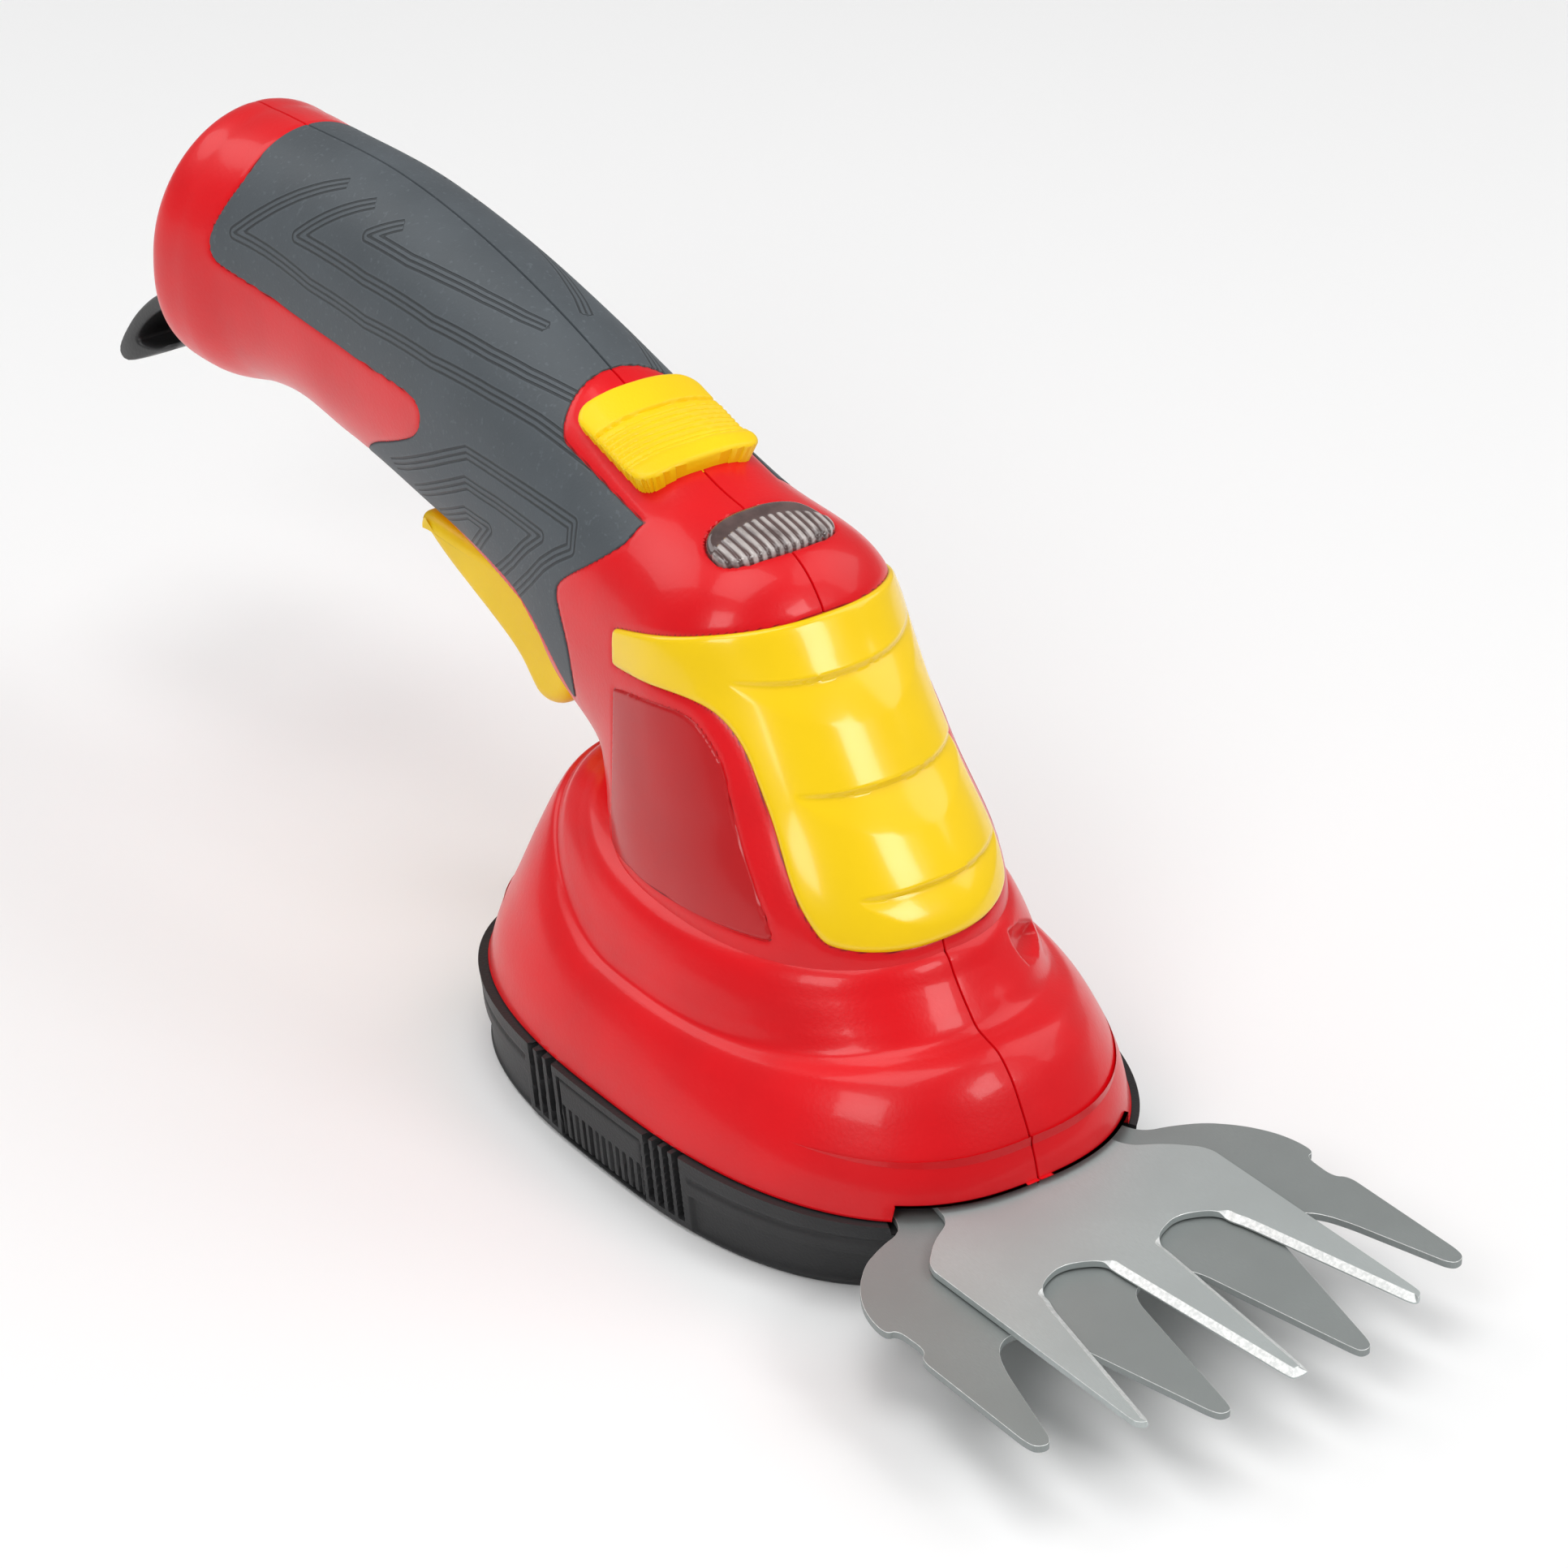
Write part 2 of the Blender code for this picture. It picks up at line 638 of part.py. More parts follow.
def cut_openings(shop, shell):
    """The ways into the housing: blade notch, trigger, slider slot, lens, socket and loop."""
    width = slot_half_width() - NOTCH_STEP
    notch = shop.box("notch", (30, -width, 0), (90, width, FRONT_NOTCH_TOP))
    boolean(shell, notch)
    opening = along_handle(TRIGGER_OPENING)
    boolean(shell, shop.prism("trigger_way", opening, -60, 60, 'Y'))
    half = STEM_HALF_WIDTH + 0.5
    slot = shop.box("slot", (STEM_BACK - 0.5, -half, 90),
                    (STEM_FRONT + SLIDER_TRAVEL + 0.5, half, FAR_OUT))
    boolean(shell, slot)
    lens = ellipse(LENS_MIDDLE, LENS_HALF_LENGTH, LENS_HALF_WIDTH)
    boolean(shell, shop.prism("lens_way", grow_outline(lens, GAP), 88, FAR_OUT, 'Z'))
    socket = shop.cylinder("socket_way", (0, SOCKET_Z), SOCKET_RADIUS + GAP, station(-175),
                           station(-147), 'X')
    boolean(shell, socket)
    loop = shop.box("loop_way", (station(-175), -LOOP_HALF_WIDTH - GAP, LOOP_ROOT_LOW - GAP),
                    (station(-148.0), LOOP_HALF_WIDTH + GAP, LOOP_ROOT_HIGH + GAP))
    boolean(shell, loop)


STEM_BACK = -40.0
STEM_FRONT = -36.0
STEM_HALF_WIDTH = 2.2
SOCKET_Z = 91.5
SOCKET_RADIUS = 4.0
LOOP_HALF_WIDTH = 8.0
LOOP_ROOT_LOW = 74.6
LOOP_ROOT_HIGH = 80.6


def make_shells(shop):
    shell = body_solid(shop, 0.0, 0.0)
    boolean(shell, shop.loft("handle_hollow", handle_rings(HANDLE_WALL, 1, 24)))
    boolean(shell, shop.loft("head_hollow", head_rings(HEAD_WALL, 28, floor=5.0)))
    add_bosses(shop, shell)
    boolean(shell, grip_layer(shop, "grip_bed", GRIP_THICKNESS + GAP, GAP))
    boolean(shell, cover_layer(shop, "cover_bed", COVER_THICKNESS + GAP, GAP))
    bed = label_layer(shop, "label_bed", LABEL_THICKNESS + GAP, GAP)
    boolean(shell, bed)
    cut_openings(shop, shell)
    right = copy_of(shop, shell, "housing_right", "red_plastic")
    left = copy_of(shop, shell, "housing_left", "red_plastic")
    keep_side(shop, right, -1)
    keep_side(shop, left, 1)
    bpy.data.objects.remove(shell, do_unlink=True)


def make_skins(shop):
    for name, side in (("grip_right", -1), ("grip_left", 1)):
        grip = grip_layer(shop, name, GRIP_THICKNESS, 0.0, "soft_grip")
        keep_side(shop, grip, side)
    cover_layer(shop, "front_cover", COVER_THICKNESS, 0.0, "yellow_plastic")
    for name, side in (("label_right", -1), ("label_left", 1)):
        label = label_layer(shop, name, LABEL_THICKNESS, 0.0, "label_film")
        boolean(label, shop.loft("head", head_rings(-GAP)))
        keep_side(shop, label, side, 8.0)
    lens = shop.loft("indicator_lens", handle_rings(0.0), "lens_plastic")
    outline = ellipse(LENS_MIDDLE, LENS_HALF_LENGTH, LENS_HALF_WIDTH)
    boolean(lens, shop.prism("edge", outline, 85, FAR_OUT, 'Z'), 'INTERSECT')
    boolean(lens, shop.loft("inside", handle_rings(LENS_THICKNESS)))


def make_screws(shop):
    """One screw for each boss, with its head against the seat in the left shell."""
    for place, x, z in screw_places():
        top = SCREW_SEAT_Y + GAP + SCREW_HEAD_HEIGHT
        seat = SCREW_SEAT_Y + GAP
        profile = [(0, top), (SCREW_HEAD_RADIUS, top), (SCREW_HEAD_RADIUS, seat),
                   (SCREW_RADIUS, seat), (SCREW_RADIUS, -9.0), (0, -9.0)]
        shop.turned(f"housing_screw_{place}", profile, (x, 0, z), "bright_steel", 'Y', 12)


# ---- base, loop and socket ---------------------------------------------------

def base_rings(grow=0.0, points=40):
    rings = []
    for front, rear, half, height in BASE_LEVELS:
        rings.append(plan_ring(front + grow, rear + grow, half * head_scale() + grow,
                               BASE_ROUND_FRONT, BASE_ROUND_REAR, lambda x, z=height: z, points))
    return rings


def base_pocket(shop):
    front, rear, half = BASE_POCKET
    half = half * head_scale()
    rings = [plan_ring(front, rear, half, BASE_ROUND_FRONT, BASE_ROUND_REAR,
                       lambda x, z=height: z, 40) for height in (BASE_FLOOR, 40)]
    return shop.loft("pocket", rings)


def make_base(shop):
    """The tray under the head, with a slot for the blades and a window for each button."""
    base = shop.loft("base_cover", base_rings(), "black_plastic")
    boolean(base, base_pocket(shop))
    width = slot_half_width()
    boolean(base, shop.box("blade_way", (40, -width, BLADE_SLOT_BOTTOM), (90, width, 40)))
    for side in (-1, 1):
        y = sorted((side * 25, side * 60))
        low = (-BUTTON_HALF_LENGTH - GAP, y[0], 1.5 - GAP)
        high = (BUTTON_HALF_LENGTH + GAP, y[1], 12.2 + GAP)
        boolean(base, shop.box("button_way", low, high))
    for name, x, y in base_screw_places():
        boolean(base, shop.cylinder("bore", (x, y), SCREW_RADIUS + GAP, -5, 10, sides=12))
        boolean(base, shop.cylinder("seat", (x, y), SCREW_HEAD_RADIUS + GAP, -5, 1.0, sides=16))
    return base


def base_screw_places():
    """Name, x and y of the screws that hold the base to the blade holder."""
    return [("front", 24.0, 0.0), ("rear", -8.0, 0.0)]


def make_base_screws(shop):
    for name, x, y in base_screw_places():
        profile = [(0, 8.6), (SCREW_RADIUS, 8.6), (SCREW_RADIUS, 0.8), (SCREW_HEAD_RADIUS, 0.8),
                   (SCREW_HEAD_RADIUS, 0.1), (0, 0.1)]
        profile = [(r, z) for r, z in profile]
        shop.turned(f"base_screw_{name}", profile, (x, y, 0), "bright_steel", 'Z', 12)


def make_buttons(shop):
    """Squeeze buttons in the sides of the base. Each slides inwards in its window."""
    for name, side in (("release_button_right", -1), ("release_button_left", 1)):
        half = BUTTON_HALF_LENGTH
        inner = side * (34.0 * head_scale() + 0.6)
        outer = side * 60
        button = shop.loft(name, base_rings(-0.1), "black_plastic")
        ys = sorted((inner - side * 1.6, outer))
        window = shop.box("window", (-half, ys[0], 1.5), (half, ys[1], 12.2))
        boolean(button, window, 'INTERSECT')
        ys = sorted((inner - side * 2.6, inner - side * 1.2))
        flange = shop.box("flange", (-half - 2.0, ys[0], BASE_FLOOR + GAP), (half + 2.0, ys[1], 13.4))
        boolean(button, flange, 'UNION')


LOOP_OUTLINE = [
    (-151.0, LOOP_ROOT_LOW), (-151.0, LOOP_ROOT_HIGH), (-164.0, LOOP_ROOT_HIGH), (-172.0, 78.2),
    (-179.0, 74.2), (-185.0, 69.0), (-189.6, 63.4), (-192.4, 58.6), (-191.0, 57.0),
    (-188.6, 57.4), (-182.0, 60.8), (-175.0, 64.6), (-168.0, 68.6), (-163.2, LOOP_ROOT_LOW),
]
LOOP_HOLE = [
    (-165.2, 77.6), (-171.0, 75.6), (-177.4, 71.8), (-182.6, 67.4), (-186.2, 62.8),
    (-180.0, 63.4), (-173.0, 67.0), (-166.4, 71.2),
]


def make_loop(shop):
    """The hanging loop, which sits in a slot in the rear of the handle."""
    loop = shop.prism("hanger_loop", along_handle(LOOP_OUTLINE), -LOOP_HALF_WIDTH,
                      LOOP_HALF_WIDTH, 'Y', "black_plastic")
    boolean(loop, shop.prism("hole", along_handle(LOOP_HOLE), -40, 40, 'Y'))


def make_socket(shop):
    socket = shop.cylinder("charge_socket", (0, SOCKET_Z), SOCKET_RADIUS, station(-158.6),
                           station(-148.6), 'X', "black_plastic", 16)
    boolean(socket, shop.cylinder("jack", (0, SOCKET_Z), 2.6, station(-170), station(-151), 'X',
                                  sides=16))
    shop.cylinder("charge_pin", (0, SOCKET_Z), 0.9, station(-157.5), station(-151) - GAP, 'X',
                  "brass", 10)


# ---- blades -------------------------------------------------------------------

def blade_x(x):
    """Where a nominal place ahead of the pivot lies at the present blade reach."""
    if x <= PIVOT_X:
        return x
    return PIVOT_X + (x - PIVOT_X) * (BLADE_REACH - PIVOT_X) / (NOMINAL_REACH - PIVOT_X)


def blade_y(x, y):
    """Teeth spread with the blade width; the neck in the notch keeps its own width."""
    spread = min(max((x - 58.0) / 12.0, 0.0), 1.0)
    return y * (1.0 + spread * (BLADE_WIDTH / NOMINAL_BLADE - 1.0))


def blade_outline(half):
    """Both halves of a blade from the points of its left half, rear to front centre."""
    left = [(blade_x(x), blade_y(x, y)) for x, y in half]
    right = [(x, -y) for x, y in reversed(left) if y > 0.001]
    return left + right


LOWER_BLADE_HALF = [
    (-12.0, 16.0), (-10.0, 19.0), (46.0, 20.4), (54.4, 21.8), (57.0, 23.6), (58.1, 27.4),
    (60.5, 32.4), (64.6, 36.6), (69.0, 39.3), (73.0, 40.5), (76.6, 40.7), (76.9, 38.8),
    (83.4, 38.6), (84.8, 40.5), (109.6, 40.7), (111.4, 39.9), (111.6, 37.6), (94.3, 32.4),
    (90.2, 30.6), (88.0, 28.4), (87.4, 26.0), (88.0, 23.6), (90.0, 21.5), (119.4, 14.7),
    (120.5, 13.8), (120.5, 12.4), (119.6, 11.8), (91.6, 6.0), (89.2, 4.4), (88.2, 2.2),
    (88.0, 0.0),
]
UPPER_BLADE_HALF = [
    (4.0, 4.0), (6.0, 6.0), (28.0, 6.4), (33.0, 10.0), (38.0, 12.0), (44.0, 13.4),
    (54.0, 15.8), (60.2, 17.1), (63.4, 22.4), (68.0, 26.9), (114.6, 27.1), (116.2, 26.9),
    (117.2, 25.0), (86.6, 18.2), (84.4, 17.3), (82.6, 17.2), (80.8, 15.4), (79.2, 11.1),
    (80.8, 6.8), (82.6, 4.9), (84.4, 4.9), (120.2, 1.6), (120.5, 0.8), (120.5, 0.0),
]


def blade_levels():
    """Heights of the blade stack, from the lower blade's top upwards."""
    lower_top = LOWER_BLADE_BOTTOM + LOWER_BLADE_THICKNESS
    upper_low = lower_top + GAP
    upper_top = upper_low + UPPER_BLADE_THICKNESS
    return lower_top, upper_low, upper_top


def make_lower_blade(shop):
    top = blade_levels()[0]
    blade = shop.prism("lower_blade", blade_outline(LOWER_BLADE_HALF), LOWER_BLADE_BOTTOM, top,
                       'Z', "blade_steel")
    boolean(blade, shop.cylinder("bore", (PIVOT_X, 0), PIVOT_RADIUS + GAP, 0, 40))
    for x, y in blade_screw_places():
        boolean(blade, shop.cylinder("bore", (x, y), SCREW_RADIUS + GAP, 0, 40, sides=12))


def blade_screw_places():
    return [(14.0, 13.4), (14.0, -13.4)]


def make_blade_holder(shop):
    """The channel that carries the lower blade above the base."""
    top = LOWER_BLADE_BOTTOM - GAP
    holder = shop.box("blade_holder", (-14, -20.5, BASE_FLOOR + GAP), (45, 20.5, top),
                      "black_plastic")
    boolean(holder, shop.box("channel", (-20, -17.5, 0), (60, 17.5, top - 4.0)))
    boolean(holder, shop.cylinder("bore", (PIVOT_X, 0), PIVOT_RADIUS + GAP, 0, 40))
    for x, y in blade_screw_places():
        boolean(holder, shop.cylinder("bore", (x, y), SCREW_RADIUS + GAP, 0, 40, sides=12))
    for _, x, y in base_screw_places():
        boolean(holder, shop.cylinder("post", (x, y), BOSS_RADIUS, BASE_FLOOR + GAP, top, sides=16),
                'UNION')
        boolean(holder, shop.cylinder("bore", (x, y), SCREW_RADIUS + GAP, 0, 9.0, sides=12))


def make_blade_fasteners(shop):
    lower_top, _, upper_top = blade_levels()
    washer_low = upper_top + GAP
    washer_high = washer_low + 0.8
    head_low = washer_high + GAP
    hole = PIVOT_RADIUS + GAP
    shop.turned("pivot_washer", [(hole, washer_high), (5.6, washer_high), (5.6, washer_low),
                                 (hole, washer_low)], (PIVOT_X, 0, 0), "brass")
    nut_low = LOWER_BLADE_BOTTOM - GAP - 4.0 - GAP - 2.4
    profile = [(0, head_low + 2.0), (3.8, head_low + 2.0), (4.6, head_low + 1.2), (4.6, head_low),
               (PIVOT_RADIUS, head_low), (PIVOT_RADIUS, nut_low - 0.4), (0, nut_low - 0.4)]
    shop.turned("pivot_bolt", profile, (PIVOT_X, 0, 0), "bright_steel")
    nut = shop.cylinder("pivot_nut", (PIVOT_X, 0), 4.6, nut_low, nut_low + 2.4, 'Z',
                        "bright_steel", 6)
    boolean(nut, shop.cylinder("bore", (PIVOT_X, 0), hole, 0, 40))
    for name, (x, y) in zip(("left", "right"), blade_screw_places()):
        seat = lower_top + GAP
        profile = [(0, seat + 1.4), (2.4, seat + 1.4), (2.8, seat), (SCREW_RADIUS, seat),
                   (SCREW_RADIUS, 7.0), (0, 7.0)]
        shop.turned(f"blade_screw_{name}", profile, (x, y, 0), "bright_steel", 'Z', 12)


def turn_about_pivot(piece):
    """Give a swinging piece its origin on the blade pivot and its rest angle."""
    shift = Matrix.Translation((-PIVOT_X * MM, 0, 0))
    piece.data.transform(shift)
    piece.location = (PIVOT_X * MM, 0, 0)
    piece.rotation_euler = (0, 0, math.radians(BLADE_REST_ANGLE))


def make_upper_blade(shop):
    _, low, high = blade_levels()
    blade = shop.prism("upper_blade", blade_outline(UPPER_BLADE_HALF), low, high, 'Z',
                       "blade_steel")
    boolean(blade, shop.cylinder("bore", (PIVOT_X, 0), PIVOT_RADIUS + GAP, 0, 40))
    turn_about_pivot(blade)
    crank_x = PIVOT_X - BLADE_LEVER
    yoke_low = high + GAP
    yoke_high = yoke_low + YOKE_THICKNESS
    yoke = shop.box("drive_yoke", (crank_x - 8, -6.2, yoke_low), (crank_x + 10, 6.2, yoke_high),
                    "black_plastic")
    slot_half = CRANK_PIN_RADIUS + GAP
    reach = CRANK_THROW + CRANK_PIN_RADIUS + GAP
    boolean(yoke, shop.box("slot", (crank_x - reach, -slot_half, 0),
                           (crank_x + reach, slot_half, 40)))
    turn_about_pivot(yoke)


# ---- drive ------------------------------------------------------------------------

def pitch_radius(teeth):
    return MODULE * teeth / 2


def gear_outline(teeth, first_tooth):
    """A ring of straight-sided teeth; first_tooth is the angle of one tooth's middle."""
    pitch = pitch_radius(teeth)
    tip, root = pitch + 0.6, pitch - 0.9
    step = 2 * math.pi / teeth
    points = []
    for tooth in range(teeth):
        middle = first_tooth + tooth * step
        for share, radius in ((-0.26, root), (-0.10, tip), (0.10, tip), (0.26, root)):
            angle = middle + share * step
            points.append((radius * math.cos(angle), radius * math.sin(angle)))
    return points


def place_gear(gear, place):
    gear.location = (place[0] * MM, place[1] * MM, 0)


def crank_place():
    return (PIVOT_X - BLADE_LEVER, 0.0)


def wheel_place():
    """The middle gear's axle, where both its meshes keep their pitch distance."""
    motor_reach = pitch_radius(MOTOR_TEETH) + pitch_radius(WHEEL_TEETH)
    crank_reach = pitch_radius(PINION_TEETH) + pitch_radius(CRANK_TEETH)
    span = crank_place()[0] - MOTOR_X
    along = (span ** 2 + motor_reach ** 2 - crank_reach ** 2) / (2 * span)
    return (MOTOR_X + along, math.sqrt(motor_reach ** 2 - along ** 2))


def direction(start, end):
    return math.atan2(end[1] - start[1], end[0] - start[0])


CRANK_GEAR_LOW = 20.9
CRANK_GEAR_HIGH = 24.4
WHEEL_LOW = 25.4
WHEEL_HIGH = 28.4
HUB_TOP = PLATE_BOTTOM - GAP


def make_crank_gear(shop):
    """The gear that carries the crank pin in a hole in its underside."""
    mesh_angle = direction(crank_place(), wheel_place())
    gear = shop.prism("crank_gear", gear_outline(CRANK_TEETH, mesh_angle), CRANK_GEAR_LOW,
                      CRANK_GEAR_HIGH, 'Z', "white_plastic")
    boolean(gear, shop.cylinder("hub", (0, 0), 3.2, CRANK_GEAR_HIGH - 0.4, HUB_TOP), 'UNION')
    boolean(gear, shop.cylinder("bore", (0, 0), AXLE_RADIUS + GAP, CRANK_GEAR_LOW + 2.3, 60))
    tail = -BLADE_LEVER * math.sin(math.radians(BLADE_REST_ANGLE))
    pin_angle = math.asin(tail / CRANK_THROW)
    pin_at = (CRANK_THROW * math.cos(pin_angle), tail)
    hole_top = CRANK_GEAR_LOW + 1.5
    boolean(gear, shop.cylinder("pin_bore", pin_at, CRANK_PIN_RADIUS + GAP, 0, hole_top, sides=16))
    place_gear(gear, crank_place())
    pin_low = blade_levels()[2] + GAP + YOKE_THICKNESS + GAP
    pin = shop.cylinder("crank_pin", pin_at, CRANK_PIN_RADIUS, pin_low, hole_top - GAP, 'Z',
                        "bright_steel", 16)
    place_gear(pin, crank_place())
    axle("crank_axle", shop, crank_place(), CRANK_GEAR_LOW + 2.3 + GAP)


def axle(name, shop, place, low):
    """A headed steel axle that hangs from the gear plate."""
    seat = PLATE_BOTTOM + PLATE_THICKNESS + GAP
    profile = [(0, seat + 1.0), (2.5, seat + 1.0), (2.5, seat), (AXLE_RADIUS, seat),
               (AXLE_RADIUS, low), (0, low)]
    shop.turned(name, profile, (*place, 0), "bright_steel")


def make_middle_gear(shop):
    """A wheel that meets the motor pinion, with its own pinion below for the crank gear."""
    place = wheel_place()
    to_motor = direction(place, (MOTOR_X, 0))
    to_crank = direction(place, crank_place())
    gap_at_motor = to_motor + math.pi / WHEEL_TEETH
    gap_at_crank = to_crank + math.pi / PINION_TEETH
    gear = shop.prism("middle_gear", gear_outline(WHEEL_TEETH, gap_at_motor), WHEEL_LOW,
                      WHEEL_HIGH, 'Z', "white_plastic")
    pinion = shop.prism("pinion", gear_outline(PINION_TEETH, gap_at_crank), CRANK_GEAR_LOW,
                        WHEEL_LOW + 0.5, 'Z')
    boolean(gear, pinion, 'UNION')
    boolean(gear, shop.cylinder("hub", (0, 0), 3.2, WHEEL_HIGH - 0.4, HUB_TOP), 'UNION')
    boolean(gear, shop.cylinder("bore", (0, 0), AXLE_RADIUS + GAP, 0, 60))
    place_gear(gear, place)
    axle("middle_axle", shop, place, CRANK_GEAR_LOW - 0.5)


def make_motor(shop):
    """The motor above the gear plate, with its shaft and pinion below."""
    can_low = PLATE_BOTTOM + PLATE_THICKNESS + GAP
    can_high = can_low + MOTOR_HEIGHT
    bore = MOTOR_SHAFT_RADIUS + GAP
    place = (MOTOR_X, 0, 0)
    radius = MOTOR_DIAMETER / 2
    shop.turned("motor_can", [(bore, can_high), (radius - 1.0, can_high), (radius, can_high - 1.0),
                              (radius, can_low), (3.0, can_low), (3.0, PLATE_BOTTOM + GAP),
                              (bore, PLATE_BOTTOM + GAP)], place, "bright_steel")
    cap_low = can_high + GAP
    shop.turned("motor_end_cap", [(bore, cap_low + 3.0), (radius - 2.0, cap_low + 3.0),
                                  (radius - 0.5, cap_low + 2.0), (radius - 0.5, cap_low),
                                  (bore, cap_low)], place, "black_plastic")
    shop.turned("motor_shaft", [(0, cap_low + 4.6), (MOTOR_SHAFT_RADIUS, cap_low + 4.6),
                                (MOTOR_SHAFT_RADIUS, WHEEL_LOW - 0.8), (0, WHEEL_LOW - 0.8)],
                place, "bright_steel", steps=12)
    to_wheel = direction((MOTOR_X, 0), wheel_place())
    pinion = shop.prism("motor_pinion", gear_outline(MOTOR_TEETH, to_wheel), WHEEL_LOW - 0.4,
                        PLATE_BOTTOM - 1.0, 'Z', "brass")
    boolean(pinion, shop.cylinder("bore", (0, 0), bore, 0, 60, sides=12))
    place_gear(pinion, (MOTOR_X, 0))
    for name, side in (("right", -1), ("left", 1)):
        seat = PLATE_BOTTOM - GAP
        profile = [(0, can_low + 3.0), (0.9, can_low + 3.0), (0.9, seat), (1.7, seat),
                   (1.7, seat - 1.0), (0, seat - 1.0)]
        shop.turned(f"motor_screw_{name}", profile, (*motor_screw_place(side), 0),
                    "bright_steel", steps=12)


def motor_screw_place(side):
    return (MOTOR_X - 5.6, side * 5.6)


def make_gear_plate(shop):
    """A plate across the head that the motor and axles are fixed to."""
    plate = shop.loft("gear_plate", head_rings(HEAD_WALL + GAP, 40, floor=5.0), "black_plastic")
    slab = shop.box("slab", (-36, -60, PLATE_BOTTOM), (30, 60, PLATE_BOTTOM + PLATE_THICKNESS))
    boolean(plate, slab, 'INTERSECT')
    boolean(plate, shop.cylinder("boss_way", (MOTOR_X, 0), 3.0 + GAP, 0, 60))
    for place in (crank_place(), wheel_place()):
        boolean(plate, shop.cylinder("bore", place, AXLE_RADIUS + GAP, 0, 60, sides=16))
    can = bpy.data.objects["motor_can"]
    for side in (-1, 1):
        place = motor_screw_place(side)
        boolean(plate, shop.cylinder("bore", place, 0.9 + GAP, 0, 60, sides=12))
        hole = shop.cylinder("bore", place, 0.9 + GAP, 0, PLATE_BOTTOM + PLATE_THICKNESS + 4.0,
                             sides=12)
        boolean(can, hole)
    for _, x, z in screw_places():
        boolean(plate, shop.cylinder("post_way", (x, z), BOSS_RADIUS + GAP, -60, 60, 'Y', sides=16))


# ---- power and switch ------------------------------------------------------------

def make_cells(shop):
    """Two round cells, their contacts, and the two cradles that hold them."""
    back = station(CELL_BACK)
    front = back + CELL_LENGTH
    radius = CELL_DIAMETER / 2
    for name, z in (("battery_cell_upper", UPPER_CELL_Z), ("battery_cell_lower", LOWER_CELL_Z)):
        cell = shop.cylinder(name, (0, z), radius, back, front - 1.2, 'X', "cell_wrap", 32)
        boolean(cell, shop.cylinder("button", (0, z), 2.8, front - 3, front, 'X'), 'UNION')
    low, high = LOWER_CELL_Z - 4, UPPER_CELL_Z + 4
    shop.box("battery_contact_rear", (back - GAP - 0.5, -4, low), (back - GAP, 4, high), "brass")
    shop.box("battery_contact_front", (front + GAP, -4, low), (front + GAP + 0.5, 4, high), "brass")
    for name, x in (("battery_cradle_rear", back + 8), ("battery_cradle_front", front - 16)):
        cradle = shop.loft(name, handle_rings(HANDLE_WALL + GAP, 1, 24), "black_plastic")
        slab = shop.box("slab", (x, -60, 60), (x + CRADLE_THICKNESS, 60, FAR_OUT))
        boolean(cradle, slab, 'INTERSECT')
        for z in (UPPER_CELL_Z, LOWER_CELL_Z):
            boolean(cradle, shop.cylinder("way", (0, z), radius + GAP, -300, 300, 'X', sides=32))


def make_switch(shop):
    """The main switch on its bracket, and the circuit board in the neck."""
    back = station(-66.0)
    bracket = shop.loft("switch_bracket", handle_rings(HANDLE_WALL + GAP, 1, 24), "black_plastic")
    wall = shop.box("slab", (back, -60, 82.0), (back + 2.5, 60, FAR_OUT))
    boolean(bracket, wall, 'INTERSECT')
    shelf = shop.box("shelf", (back + 1.0, -6, 93.6), (back + 21.0, 6, 95.6))
    boolean(bracket, shelf, 'UNION')
    for _, x, z in screw_places():
        way = shop.cylinder("post_way", (x, z), BOSS_RADIUS + GAP, -60, 60, 'Y', sides=16)
        boolean(bracket, way)
    shop.box("main_switch", (back + 2.8, -3.2, 83.2), (back + 22.6, 3.2, 93.3), "black_plastic")
    board = shop.loft("circuit_board", handle_rings(HANDLE_WALL + GAP, 1, 24), "circuit_green")
    slab = shop.box("slab", (-30, -60, BOARD_BOTTOM), (4, 60, BOARD_BOTTOM + BOARD_THICKNESS))
    boolean(board, slab, 'INTERSECT')
    light_low = BOARD_BOTTOM + BOARD_THICKNESS + GAP
    shop.turned("indicator_light", [(0, light_low + 4.4), (1.6, light_low + 3.8),
                                    (2.4, light_low + 2.2), (2.4, light_low), (0, light_low)],
                (LENS_MIDDLE, 0, 0), "led_green")


# ---- trigger and slider ------------------------------------------------------------

